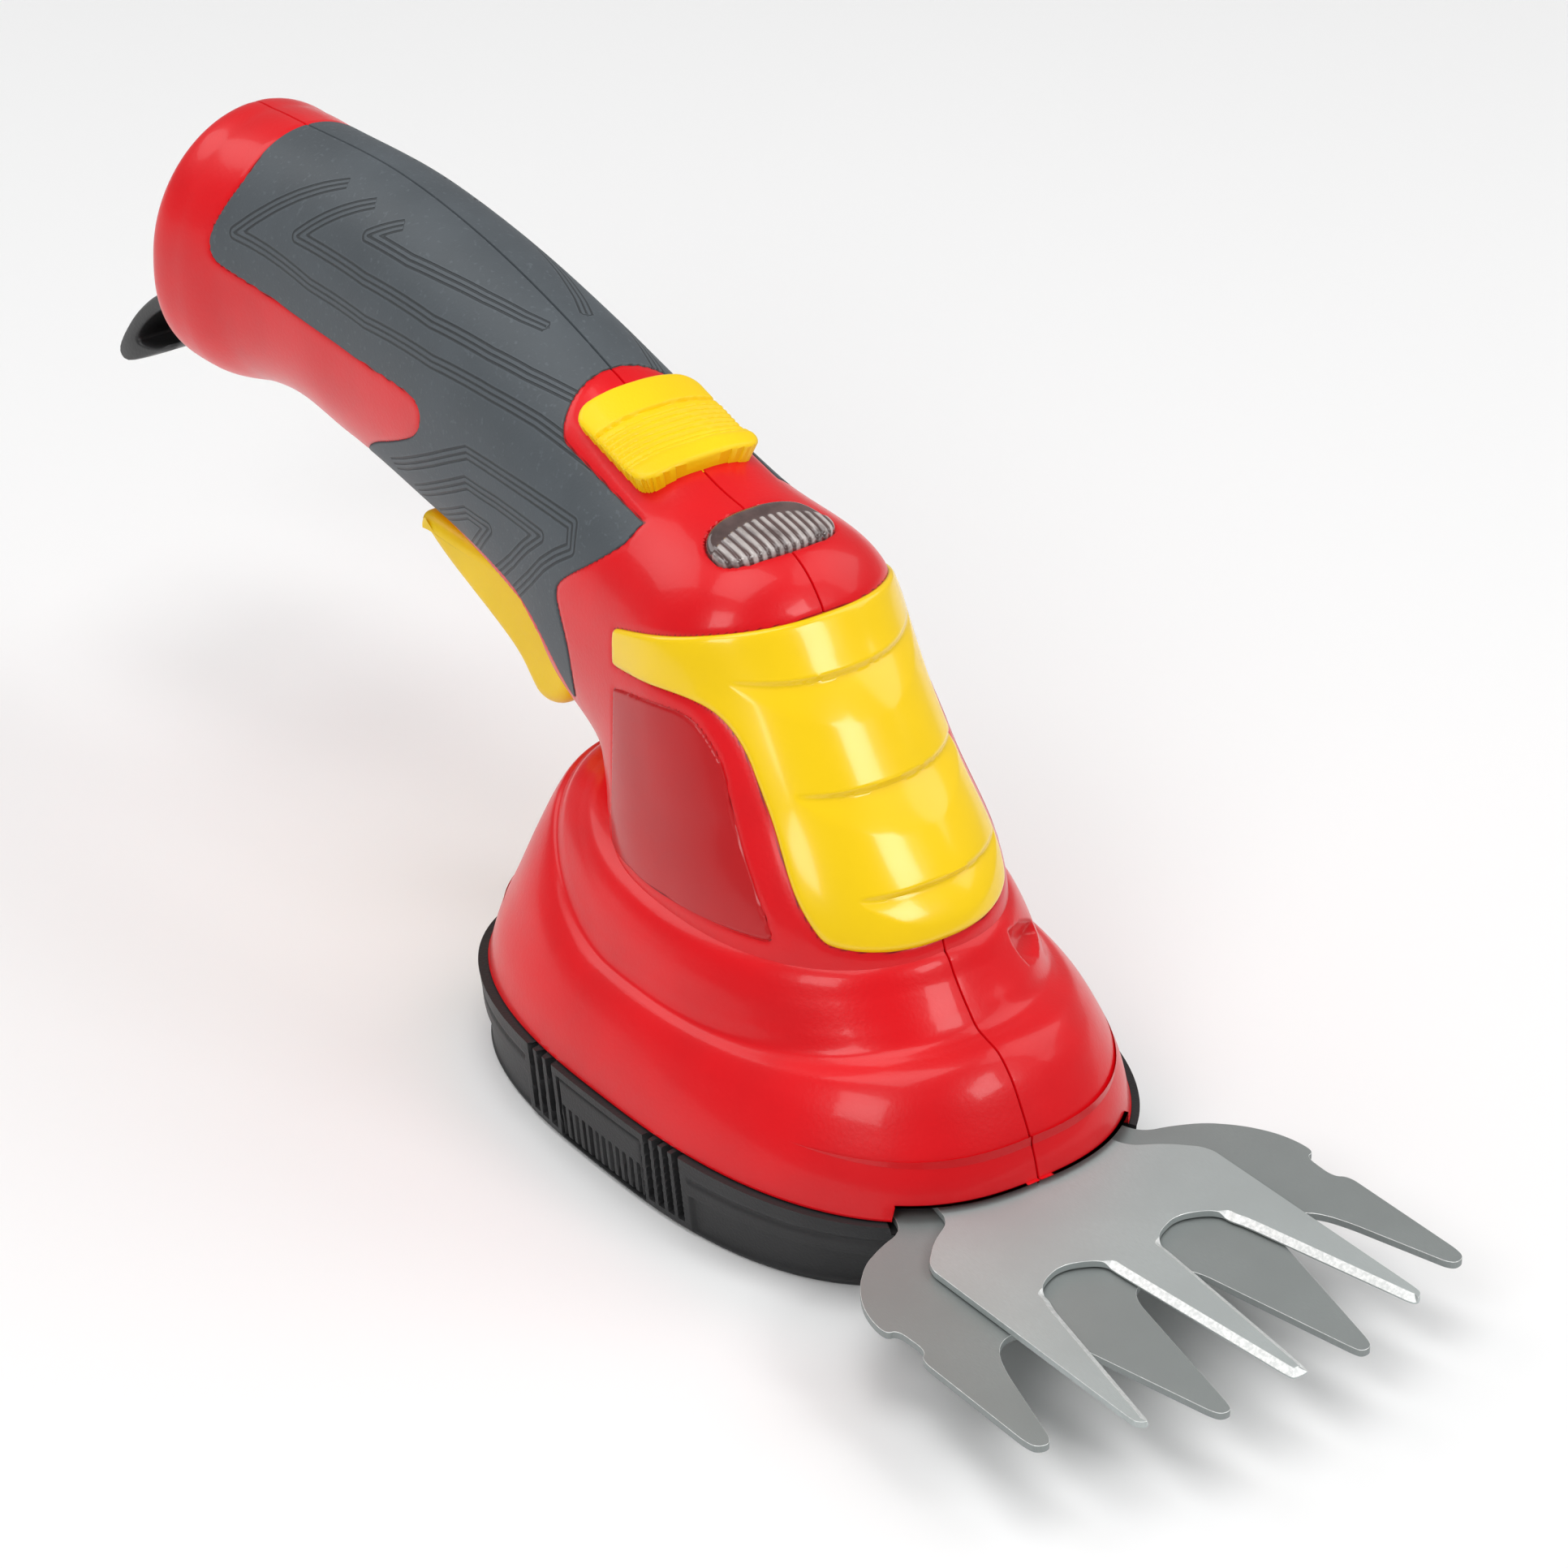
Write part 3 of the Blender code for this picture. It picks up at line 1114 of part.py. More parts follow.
def make_trigger(shop):
    """The trigger, which swings about a pin across the housing."""
    trigger = shop.prism("trigger", along_handle(TRIGGER_OUTLINE), -TRIGGER_HALF_WIDTH,
                         TRIGGER_HALF_WIDTH, 'Y', "yellow_plastic")
    sides = [e for e in trigger.data.edges if abs(
        trigger.data.vertices[e.vertices[0]].co.y - trigger.data.vertices[e.vertices[1]].co.y) < 1e-7]
    weights = trigger.data.attributes.new("bevel_weight_edge", 'FLOAT', 'EDGE')
    for edge in sides:
        weights.data[edge.index].value = 1.0
    bevel = trigger.modifiers.new("round", 'BEVEL')
    bevel.width = 2.4 * MM
    bevel.segments = 3
    bevel.limit_method = 'WEIGHT'
    apply_all(trigger)
    pin_x = station(TRIGGER_PIN_X)
    web = shop.box("web", (pin_x - 2.6, -5.5, 68.0), (pin_x + 2.6, 5.5, TRIGGER_PIN_Z + 1))
    boolean(trigger, web, 'UNION')
    hub = shop.cylinder("hub", (pin_x, TRIGGER_PIN_Z), 3.0, -6.4, 6.4, 'Y', sides=16)
    boolean(trigger, hub, 'UNION')
    lug = shop.box("lug", (station(-58.0), -4, 68.0), (station(-53.0), 4, 79.6))
    boolean(trigger, lug, 'UNION')
    boolean(trigger, shop.cylinder("bore", (pin_x, TRIGGER_PIN_Z), TRIGGER_PIN_RADIUS + GAP,
                                   -40, 40, 'Y', sides=16))
    return trigger


def make_trigger_pin(shop, shells):
    """The pin, with a boss on each shell that it ends in."""
    pin_x = station(TRIGGER_PIN_X)
    place = (pin_x, TRIGGER_PIN_Z)
    shop.cylinder("trigger_pin", place, TRIGGER_PIN_RADIUS, -9.6, 9.6, 'Y', "bright_steel", 16)
    for shell, side in shells:
        low, high = sorted((side * 6.8, side * 10.5))
        boolean(shell, shop.cylinder("post", place, 3.0, low, high, 'Y', sides=16), 'UNION')
        low, high = sorted((side * 5.0, side * 9.9))
        boolean(shell, shop.cylinder("bore", place, TRIGGER_PIN_RADIUS + GAP, low, high, 'Y',
                                     sides=16))


def plan_box(half_back, half_front, half, corner=2.5):
    """A rounded rectangle seen from above, from half_back to half_front in x."""
    points = []
    for sx, sy in ((1, 1), (-1, 1), (-1, -1), (1, -1)):
        centre_x = (half_front - corner) if sx > 0 else (half_back + corner)
        centre_y = sy * (half - corner)
        start = {(1, 1): 0, (-1, 1): 90, (-1, -1): 180, (1, -1): 270}[(sx, sy)]
        for turn in (0, 30, 60, 90):
            angle = math.radians(start + turn)
            points.append((centre_x + corner * math.cos(angle), centre_y + corner * math.sin(angle)))
    return points


def make_slider(shop):
    """The lock slider on top, its lip, its stem through the slot and the bar below."""
    back = SLIDER_FRONT - SLIDER_LENGTH
    slider = shop.loft("lock_slider", handle_rings(-1.8), "yellow_plastic")
    lip = shop.loft("lip", handle_rings(-3.0))
    lip_box = shop.box("lip_box", (SLIDER_FRONT - 11.0, -30, 92), (SLIDER_FRONT + 6, 30, FAR_OUT))
    boolean(lip, lip_box, 'INTERSECT')
    boolean(slider, lip, 'UNION')
    outline = plan_box(back, SLIDER_FRONT, SLIDER_HALF_WIDTH)
    boolean(slider, shop.prism("edge", outline, 92, FAR_OUT, 'Z'), 'INTERSECT')
    boolean(slider, shop.loft("inside", handle_rings(-0.4)))
    half = STEM_HALF_WIDTH
    stem = shop.box("stem", (STEM_BACK, -half, 92.4), (STEM_FRONT, half, 104.5))
    cap = shop.loft("cap", handle_rings(-1.2))
    boolean(stem, cap, 'INTERSECT')
    boolean(slider, stem, 'UNION')
    bar = shop.box("lock_bar", (STEM_BACK - 1.5, -5.0, 90.0), (STEM_FRONT + 1.5, 5.0, 92.1),
                   "black_plastic")
    return slider, bar


def apply_all(target):
    """Turn the modifiers of a piece into plain mesh."""
    bpy.context.view_layer.update()
    graph = bpy.context.evaluated_depsgraph_get()
    data = bpy.data.meshes.new_from_object(target.evaluated_get(graph))
    old = target.data
    target.modifiers.clear()
    target.data = data
    if old.users == 0:
        bpy.data.meshes.remove(old)


# ---- joints ----------------------------------------------------------------------

def axis_empty(shop, name, place, pieces):
    """An empty on a joint's axis that carries the pieces that move with it."""
    empty = bpy.data.objects.new(name, None)
    empty.location = [value * MM for value in place]
    empty.empty_display_size = 0.01
    shop.parts.objects.link(empty)
    bpy.context.view_layer.update()
    for piece in pieces:
        item = bpy.data.objects[piece]
        item.parent = empty
        item.matrix_parent_inverse = empty.matrix_world.inverted()


def make_joints(shop):
    axis_empty(shop, "blade_axis", (PIVOT_X, 0, 15), ["upper_blade", "drive_yoke"])
    axis_empty(shop, "crank_axis", (*crank_place(), 22), ["crank_gear", "crank_pin"])
    axis_empty(shop, "middle_axis", (*wheel_place(), 25), ["middle_gear"])
    axis_empty(shop, "motor_axis", (MOTOR_X, 0, 45), ["motor_shaft", "motor_pinion"])
    trigger_place = (station(TRIGGER_PIN_X), 0, TRIGGER_PIN_Z)
    axis_empty(shop, "trigger_axis", trigger_place, ["trigger"])
    axis_empty(shop, "slider_axis", (SLIDER_FRONT - 10, 0, 104), ["lock_slider", "lock_bar"])
    axis_empty(shop, "button_axis_right", (0, -37, 7), ["release_button_right"])
    axis_empty(shop, "button_axis_left", (0, 37, 7), ["release_button_left"])


def main():
    clear_scene()
    shop = Workshop()
    make_shells(shop)
    make_skins(shop)
    make_screws(shop)
    make_base(shop)
    make_buttons(shop)
    make_base_screws(shop)
    make_loop(shop)
    make_socket(shop)
    make_lower_blade(shop)
    make_blade_holder(shop)
    make_blade_fasteners(shop)
    make_upper_blade(shop)
    make_crank_gear(shop)
    make_middle_gear(shop)
    make_motor(shop)
    make_gear_plate(shop)
    make_cells(shop)
    make_switch(shop)
    make_trigger(shop)
    shells = ((bpy.data.objects["housing_right"], -1), (bpy.data.objects["housing_left"], 1))
    make_trigger_pin(shop, shells)
    make_slider(shop)
    make_joints(shop)


main()
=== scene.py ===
# Cordless grass shears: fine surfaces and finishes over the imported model
import json
import math
import bmesh
import bpy
import numpy as np
from mathutils import Matrix, Vector
from mathutils.geometry import tessellate_polygon


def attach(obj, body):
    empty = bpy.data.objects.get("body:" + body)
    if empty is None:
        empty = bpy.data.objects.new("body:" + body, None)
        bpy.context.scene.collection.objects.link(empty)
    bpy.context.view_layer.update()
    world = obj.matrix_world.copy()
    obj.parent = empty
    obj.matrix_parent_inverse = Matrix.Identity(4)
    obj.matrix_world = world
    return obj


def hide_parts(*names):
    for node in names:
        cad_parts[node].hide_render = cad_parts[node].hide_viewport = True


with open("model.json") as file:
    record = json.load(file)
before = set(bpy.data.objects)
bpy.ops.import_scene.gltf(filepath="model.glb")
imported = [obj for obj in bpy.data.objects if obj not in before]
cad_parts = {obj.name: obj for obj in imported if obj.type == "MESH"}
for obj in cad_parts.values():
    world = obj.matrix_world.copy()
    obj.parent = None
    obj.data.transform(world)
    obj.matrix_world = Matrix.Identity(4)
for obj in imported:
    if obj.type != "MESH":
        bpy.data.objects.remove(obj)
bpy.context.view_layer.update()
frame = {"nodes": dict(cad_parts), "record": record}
mm = 0.001


# Wire wraps a socket, so that an expression on it adds Math nodes
class Wire:
    def __init__(self, finish, socket):
        self.finish, self.socket = finish, socket

    def maths(self, operation, first, second=0.0):
        return self.finish.maths(operation, first, second)

    def __add__(self, other):
        return self.maths("ADD", self, other)

    def __sub__(self, other):
        return self.maths("SUBTRACT", self, other)

    def __rsub__(self, other):
        return self.maths("SUBTRACT", other, self)

    def __mul__(self, other):
        return self.maths("MULTIPLY", self, other)

    def __lt__(self, other):
        return self.maths("LESS_THAN", self, other)

    def __abs__(self):
        return self.maths("ABSOLUTE", self)

    __radd__ = __add__
    __rmul__ = __mul__


# A named material under construction
class Finish:
    def __init__(self, name, colour, roughness, metallic=0.0, coat=0.0, coatRoughness=0.1, ior=1.5):
        self.material = bpy.data.materials.new(name)
        self.material.use_nodes = True
        self.tree = self.material.node_tree
        self.shader = self.tree.nodes["Principled BSDF"]
        self.put("Base Color", (*colour, 1.0))
        self.put("Roughness", roughness)
        self.put("Metallic", metallic)
        self.put("Coat Weight", coat)
        self.put("Coat Roughness", coatRoughness)
        self.put("IOR", ior)

    # any node: its type, its settings, which are set first, and the values or links of its sockets
    def node(self, kind, settings, sockets, out=0):
        made = self.tree.nodes.new(kind)
        for key, value in settings.items():
            setattr(made, key, value)
        for key, value in sockets.items():
            self.join(made.inputs[key], value)
        return Wire(self, made.outputs[out])

    def join(self, target, value):
        if isinstance(value, Wire):
            self.tree.links.new(value.socket, target)
        else:
            target.default_value = value

    def put(self, name, value):
        self.join(self.shader.inputs[name], value)

    # object coordinates in units of 1/size, stretched along the axes
    def place(self, size, stretch=(1, 1, 1)):
        here = self.node("ShaderNodeTexCoord", {}, {}, "Object")
        scale = [s / size for s in stretch]
        return self.node("ShaderNodeMapping", {}, {"Vector": here, "Scale": scale})

    def maths(self, operation, first, second):
        return self.node("ShaderNodeMath", {"operation": operation}, {0: first, 1: second})

    def noise(self, size, stretch=(1, 1, 1), detail=3.0, rough=0.55):
        return self.node("ShaderNodeTexNoise", {}, {"Vector": self.place(size, stretch), "Scale": 1.0,
                                                    "Detail": detail, "Roughness": rough})

    def smooth(self, value, low, high):
        return self.node("ShaderNodeMapRange", {"interpolation_type": "SMOOTHSTEP"},
                         {"Value": value, "From Min": low, "From Max": high})

    def mix(self, share, first, second):
        return self.node("ShaderNodeMix", {"data_type": "RGBA"}, {0: share, 6: first, 7: second}, 2)

    def carried(self, name):
        return self.node("ShaderNodeAttribute", {"attribute_name": name}, {}, "Fac")

    def bump(self, height, distance):
        self.put("Normal", self.node("ShaderNodeBump", {}, {"Height": height, "Distance": distance,
                                                            "Strength": 1.0}))


def shade(colour, factor):
    return tuple(min(c * factor, 1.0) for c in colour) + (1.0,)


# moulded plastic: faint mottling, a fine spark-eroded grain and soft handling marks; when lines are given, painted
# shade darkens it along the carried seam
def plasticFinish(name, colour, roughness, grain, depth, coat=0.0, mottle=0.10, lines=None):
    made = Finish(name, colour, roughness, coat=coat, coatRoughness=0.1, ior=1.36)
    cloud = made.noise(0.022, detail=2.0)
    fine = made.noise(grain, detail=2.0)
    marks = made.noise(0.016, detail=4.0, rough=0.6)
    tint = made.mix(made.smooth(cloud, 0.3, 0.7), shade(colour, 1.0 - mottle), shade(colour, 1.0 + mottle))
    # painted shade: the colour darkens towards lines["dark"] where the carried seam distance is small, in the seam
    # gaps between parts
    if lines:
        groove = made.smooth(made.carried("seam"), lines["inner"], lines["outer"])
        tint = made.mix(groove, shade(colour, lines["dark"]), tint)
    made.put("Base Color", tint)
    made.put("Roughness", made.smooth(marks, 0.2, 0.8) * 0.07 + (roughness - 0.05) + fine * 0.04)
    made.bump(fine, depth)
    return made


# soft rubber: pebbled skin, and three thin grooves side by side along the carried lines; the grooves and the
# skin's edge get painted shade, the groove lips a painted highlight
def grippedFinish(name, colour):
    made = Finish(name, colour, 0.62)
    pebble = made.node("ShaderNodeTexVoronoi", {"feature": "SMOOTH_F1"},
                       {"Vector": made.place(0.00042), "Scale": 1.0, "Smoothness": 0.6})
    dust = made.noise(0.014, detail=4.0)
    speck = made.noise(0.0009, detail=1.0)
    away = abs(made.carried("mark"))
    line = made.maths("MINIMUM", away, abs(away - gripMarks["apart"]))
    groove = made.maths("MAXIMUM", made.smooth(line, 0.08, 0.26), made.smooth(made.carried("near"), 1.3, 1.5))
    lip = made.smooth(abs(line - 0.36), 0.16, 0.0) * (1.0 - made.smooth(made.carried("near"), 1.5, 1.9))
    edge = made.smooth(made.carried("seam"), 0.05, 0.3)
    tint = made.mix(made.smooth(dust, 0.3, 0.75), shade(colour, 0.93), shade(colour, 1.1))
    tint = made.mix(made.smooth(speck, 0.62, 0.74), tint, shade(colour, 1.3))
    # painted highlight: the lips beside the grooves are lighter
    tint = made.mix(lip, tint, shade(colour, 1.18))
    # painted shade: the engraved grooves are darkened
    tint = made.mix(groove, shade(colour, 0.45), tint)
    # painted shade: darker along the skin's edge where it dives under the housing
    tint = made.mix(edge, shade(colour, 0.6), tint)
    made.put("Base Color", tint)
    made.put("Roughness", made.smooth(dust, 0.2, 0.8) * 0.12 + 0.5)
    made.bump(pebble * 0.25 + speck * 0.5 + groove * 3.0, 0.00007)
    return made


# smoky clear plastic: dark body, with painted highlights as pale streaks down the ribs of the front part
def lensFinish(name, colour):
    made = Finish(name, colour, 0.12, coat=0.5, coatRoughness=0.05)
    cloud = made.noise(0.004, detail=3.0)
    rib = abs(made.carried("rib"))
    tint = made.mix(made.smooth(cloud, 0.3, 0.7), shade(colour, 0.7), shade(colour, 1.25))
    # painted highlight: pale streaks on the ribs of the front part
    tint = made.mix(made.smooth(rib, 0.45, 0.95) * made.smooth(cloud, 0.25, 0.6), tint, (0.52, 0.47, 0.45, 1.0))
    made.put("Base Color", tint)
    made.put("Roughness", cloud * 0.12 + 0.08)
    made.bump(cloud, 0.00003)
    return made


# brushed steel; on the blades the faces that lean, the ground bevels, are brighter and scratched, partly their
# ground finish and partly a painted highlight
def steelFinish(name, colour, roughness, stretch, metallic=1.0, bevel=False):
    made = Finish(name, colour, roughness, metallic)
    brushed = made.noise(0.0012, stretch, detail=4.0, rough=0.6)
    cloud = made.noise(0.018, detail=3.0)
    tint = made.mix(made.smooth(cloud, 0.3, 0.7), shade(colour, 0.93), shade(colour, 1.05))
    tint = made.mix(made.smooth(brushed, 0.25, 0.75), shade(colour, 0.9), tint)
    rough = brushed * 0.2 + cloud * 0.1 + (roughness - 0.12)
    if bevel:
        normal = made.node("ShaderNodeNewGeometry", {}, {}, "Normal")
        facing = made.node("ShaderNodeSeparateXYZ", {}, {0: normal}, "Z")
        # leaning faces: the ground steel's own brighter finish, together with a painted highlight from the lights
        groundHighlight = (facing < 0.93) * (1.0 - (facing < 0.6))
        scratch = made.noise(0.0006, (1.0, 1.0, 1.0), detail=2.0)
        bright = made.mix(made.smooth(scratch, 0.3, 0.7), (0.70, 0.72, 0.71, 1.0), (0.92, 0.93, 0.92, 1.0))
        tint = made.mix(groundHighlight, tint, bright)
        rough = rough - groundHighlight * 0.14
    made.put("Base Color", tint)
    made.put("Roughness", rough)
    made.bump(brushed, 0.00002)
    return made


red = (0.74, 0.001, 0.006)
yellow = (0.97, 0.64, 0.001)
grey = (0.074, 0.087, 0.098)
black = (0.024, 0.024, 0.025)
# painted shade in the seam gaps around the skins of the red housing
seamShade = {"inner": 0.02, "outer": 0.2, "dark": 0.3}
gripMarks = {"apart": 1.0}
finishes = {
    "red_plastic": plasticFinish("redHousing", red, 0.34, 0.0007, 0.00003, 0.25, 0.06, seamShade),
    "plain_yellow": plasticFinish("yellowControls", yellow, 0.4, 0.0006, 0.00004, 0.1, 0.05),
    "soft_grip": grippedFinish("softGrip", grey),
    # the cover's lines darken its edge as painted shade in the seam
    "yellow_plastic": plasticFinish("yellowCover", yellow, 0.24, 0.0009, 0.00001, 0.5, 0.03,
                                    {"inner": 0.0, "outer": 0.16, "dark": 0.5}),
    "black_plastic": plasticFinish("blackBase", black, 0.46, 0.0005, 0.00006, 0.0, 0.14),
    "plain_black": plasticFinish("blackTrigger", black, 0.38, 0.0006, 0.00004, 0.1, 0.12),
    "white_plastic": plasticFinish("nylonGear", (0.72, 0.70, 0.65), 0.5, 0.0006, 0.00003),
    "lens_plastic": plasticFinish("smokyPlastic", (0.17, 0.12, 0.11), 0.16, 0.001, 0.00001, 0.6, 0.08),
    "ribbed_lens": lensFinish("smokyLens", (0.10, 0.062, 0.058)),
    "label_film": plasticFinish("darkRedFilm", (0.50, 0.006, 0.009), 0.34, 0.001, 0.00001, 0.3, 0.05),
    "blade_steel": steelFinish("bladeSteel", (0.50, 0.54, 0.535), 0.46, (1.0, 14.0, 1.0), 0.45, True),
    "lower_steel": steelFinish("lowerSteel", (0.30, 0.325, 0.32), 0.5, (1.0, 14.0, 1.0), 0.45, True),
    "bright_steel": steelFinish("platedSteel", (0.62, 0.62, 0.60), 0.3, (1.0, 1.0, 8.0)),
    "brass": steelFinish("contactBrass", (0.70, 0.50, 0.22), 0.3, (1.0, 6.0, 1.0)),
    "cell_wrap": plasticFinish("cellWrap", (0.06, 0.18, 0.42), 0.35, 0.002, 0.00002, 0.3),
    "circuit_green": plasticFinish("circuitBoard", (0.015, 0.16, 0.05), 0.4, 0.0012, 0.00004),
    "led_green": plasticFinish("tintedLight", (0.2, 0.75, 0.2), 0.15, 0.002, 0.00001, 0.5),
}
print("stage: finishes", len(finishes))


# values of rows on a smooth curve through control rows, at steps even in length
def alongRows(rows, count, start=0.0, end=1.0):
    rows = np.array(rows, float)
    reach = np.hypot(np.diff(rows[:, 0]), np.diff(rows[:, 1])) + 0.01
    knots = np.concatenate([[0.0], np.cumsum(reach)])
    slopes = np.diff(rows, axis=0) / reach[:, None]
    before, after = reach[:-1, None], reach[1:, None]
    middle = (slopes[:-1] * after + slopes[1:] * before) / (before + after)
    tangents = np.vstack([slopes[:1], middle, slopes[-1:]])
    at = (np.linspace(start, end, count) if np.isscalar(start) else start) * knots[-1]
    index = np.clip(np.searchsorted(knots, at, side="right") - 1, 0, len(reach) - 1)
    span = reach[index][:, None]
    u = ((at - knots[index]) / reach[index])[:, None]
    return ((1 + 2 * u) * (1 - u) ** 2 * rows[index] + u * (1 - u) ** 2 * span * tangents[index]
            + u * u * (3 - 2 * u) * rows[index + 1] - u * u * (1 - u) * span * tangents[index + 1])


# sections of the handle: top x, top z, bottom x, bottom z, half width, widest share, two roundnesses
handleSections = [
    (-158.0, 112.0, -161.5, 76.0, 15.5, 0.50, 2.0, 2.3), (-155.0, 116.6, -159.0, 71.0, 19.6, 0.49, 2.0, 2.45),
    (-148.0, 117.8, -150.0, 69.5, 19.8, 0.49, 2.0, 2.4), (-139.0, 118.5, -138.0, 72.0, 18.0, 0.50, 2.05, 2.3),
    (-108.0, 120.0, -112.0, 71.0, 16.0, 0.50, 2.2, 2.3), (-85.0, 117.5, -92.0, 68.5, 16.2, 0.52, 2.2, 2.3),
    (-63.0, 112.5, -74.0, 66.0, 17.1, 0.52, 2.2, 2.3), (-47.0, 107.5, -61.0, 61.5, 18.0, 0.52, 2.3, 2.3),
    (-23.0, 100.0, -47.0, 54.0, 20.0, 0.55, 2.4, 2.3), (2.0, 94.0, -36.0, 49.0, 22.3, 0.62, 2.4, 2.4),
    (10.0, 84.0, -33.5, 47.0, 23.2, 0.55, 2.3, 2.4), (22.0, 68.0, -32.5, 46.0, 24.5, 0.50, 2.3, 2.4),
    (36.5, 46.7, -34.0, 43.0, 26.0, 0.50, 2.3, 2.3), (38.0, 38.0, -36.0, 37.0, 26.0, 0.50, 2.3, 2.3),
]


# handle: two half superellipses at each section; angle 0 is the top, a right angle is the -Y side
def handleGrid(rows, angles):
    topX, topZ, bottomX, bottomZ, half, middle, upper, lower = [c[:, None] for c in rows.T]
    c, s = np.cos(angles)[None, :], np.sin(angles)[None, :]
    power = 2 / np.where(c >= 0, upper, lower)
    rise = np.abs(c) ** power
    share = np.where(c >= 0, middle + (1 - middle) * rise, middle - middle * rise)
    side = -half * np.sign(s) * np.abs(s) ** power
    return np.stack([bottomX + (topX - bottomX) * share, side,
                     bottomZ + (topZ - bottomZ) * share], axis=2)


# unit normals of a grid from the cross product of its two directions
def gridNormals(points):
    along = np.gradient(points, axis=0)
    across = np.gradient(points, axis=1)
    normal = np.cross(along, across)
    length = np.linalg.norm(normal, axis=2, keepdims=True)
    return normal / np.maximum(length, 1e-9)


# a closed outline whose sides are cut at a quarter and three quarters, several times
def rounded(corners, times):
    points = np.array(corners, float)
    for _ in range(times):
        after = np.roll(points, -1, axis=0)
        points = np.stack([points * 0.75 + after * 0.25, points * 0.25 + after * 0.75], axis=1).reshape(-1, 2)
    return points


# distance in the plane to the sides of a closed outline, more than 0 inside it
def outlineDistance(first, second, outline):
    flat = np.stack([first.ravel(), second.ravel()], axis=1)
    best = np.full(len(flat), 1e9)
    inside = np.zeros(len(flat), bool)
    for a, b in zip(outline, np.roll(outline, -1, axis=0)):
        way = b - a
        share = np.clip(((flat - a) @ way) / max(way @ way, 1e-12), 0, 1)
        best = np.minimum(best, np.hypot(*(flat - a - share[:, None] * way).T))
        if a[1] != b[1]:
            crosses = (a[1] > flat[:, 1]) != (b[1] > flat[:, 1])
            inside ^= crosses & (flat[:, 0] < a[0] + (flat[:, 1] - a[1]) * way[0] / way[1])
    return np.where(inside, best, -best).reshape(first.shape)


# 0 below low, 1 above high, and u^2 (3 - 2u) between them
def smoothStep(value, low, high):
    u = np.clip((value - low) / (high - low), 0, 1)
    return u * u * (3 - 2 * u)


# a mesh from arrays of points and faces in millimetres, riding on a body
def makePiece(name, points, faces, body, finish, replaces=(), layers=None, sharp=None):
    mesh = bpy.data.meshes.new(name)
    faces = [np.asarray(f) for f in faces if len(f)]
    mesh.vertices.add(len(points))
    mesh.vertices.foreach_set("co", (np.asarray(points, np.float64) * mm).astype(np.float32).ravel())
    loops = np.concatenate([f.ravel() for f in faces])
    sizes = np.concatenate([np.full(len(f), f.shape[1]) for f in faces])
    mesh.loops.add(len(loops))
    mesh.loops.foreach_set("vertex_index", loops.astype(np.int32))
    mesh.polygons.add(len(sizes))
    mesh.polygons.foreach_set("loop_start", np.concatenate([[0], np.cumsum(sizes)[:-1]]).astype(np.int32))
    mesh.polygons.foreach_set("loop_total", sizes.astype(np.int32))
    mesh.update(calc_edges=True)
    mesh.validate()
    mesh.polygons.foreach_set("use_smooth", np.ones(len(mesh.polygons), bool))
    for key, values in (layers or {}).items():
        layer = mesh.attributes.new(key, "FLOAT", "POINT")
        layer.data.foreach_set("value", np.asarray(values, np.float32).ravel())
    if sharp:
        mesh.set_sharp_from_angle(angle=math.radians(sharp))
    made = bpy.data.objects.new(name, mesh)
    bpy.context.scene.collection.objects.link(made)
    mesh.materials.append(finishes[finish].material)
    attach(made, body)
    if replaces:
        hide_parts(*replaces)
    return made


# four-cornered faces of a grid, those that touch a kept point; closed joins the last column to the first
def gridFaces(rows, columns, closed=False, flip=False, keep=None):
    across = columns if closed else columns - 1
    i, j = np.meshgrid(np.arange(rows - 1), np.arange(across), indexing="ij")
    after = (j + 1) % columns
    faces = np.stack([i * columns + j, i * columns + after, (i + 1) * columns + after,
                      (i + 1) * columns + j], axis=2).reshape(-1, 4)
    if keep is not None:
        faces = faces[keep.ravel()[faces].any(axis=1)]
    return faces[:, ::-1] if flip else faces


# drops points that no face uses
def tidyPoints(points, faces, layers):
    used = np.unique(faces)
    number = np.zeros(len(points), int)
    number[used] = np.arange(len(used))
    return points[used], number[faces], {k: v.ravel()[used] for k, v in layers.items()}


gripOutline = rounded([
    (-138.3, 150.0), (-138.3, 118.0), (-137.3, 113.0), (-139.8, 107.0), (-141.6, 102.0), (-140.6, 98.4),
    (-137.0, 97.4), (-125.0, 96.5), (-109.0, 95.4), (-97.0, 95.0), (-84.0, 95.4), (-81.0, 94.6),
    (-79.8, 92.4), (-81.8, 88.7), (-88.4, 84.9), (-101.0, 79.0), (-110.0, 71.0), (-110.0, 56.0),
    (-92.8, 56.0), (-92.8, 71.6), (-78.0, 73.6), (-63.6, 74.7), (-51.0, 73.7), (-44.0, 69.2),
    (-39.6, 64.8), (-36.0, 60.5), (-33.7, 66.0), (-33.7, 72.2), (-36.0, 76.8), (-37.8, 80.3),
    (-36.3, 83.0), (-27.0, 90.0), (-21.7, 95.6), (-21.7, 150.0)], 2)
triggerWay = np.array([(-92.0, 30.0), (-92.0, 70.6), (-78.0, 72.6), (-63.6, 73.6), (-51.0, 72.6),
                       (-45.0, 68.2), (-43.2, 62.0), (-45.4, 53.4), (-47.0, 49.8), (-60.0, 30.0)])
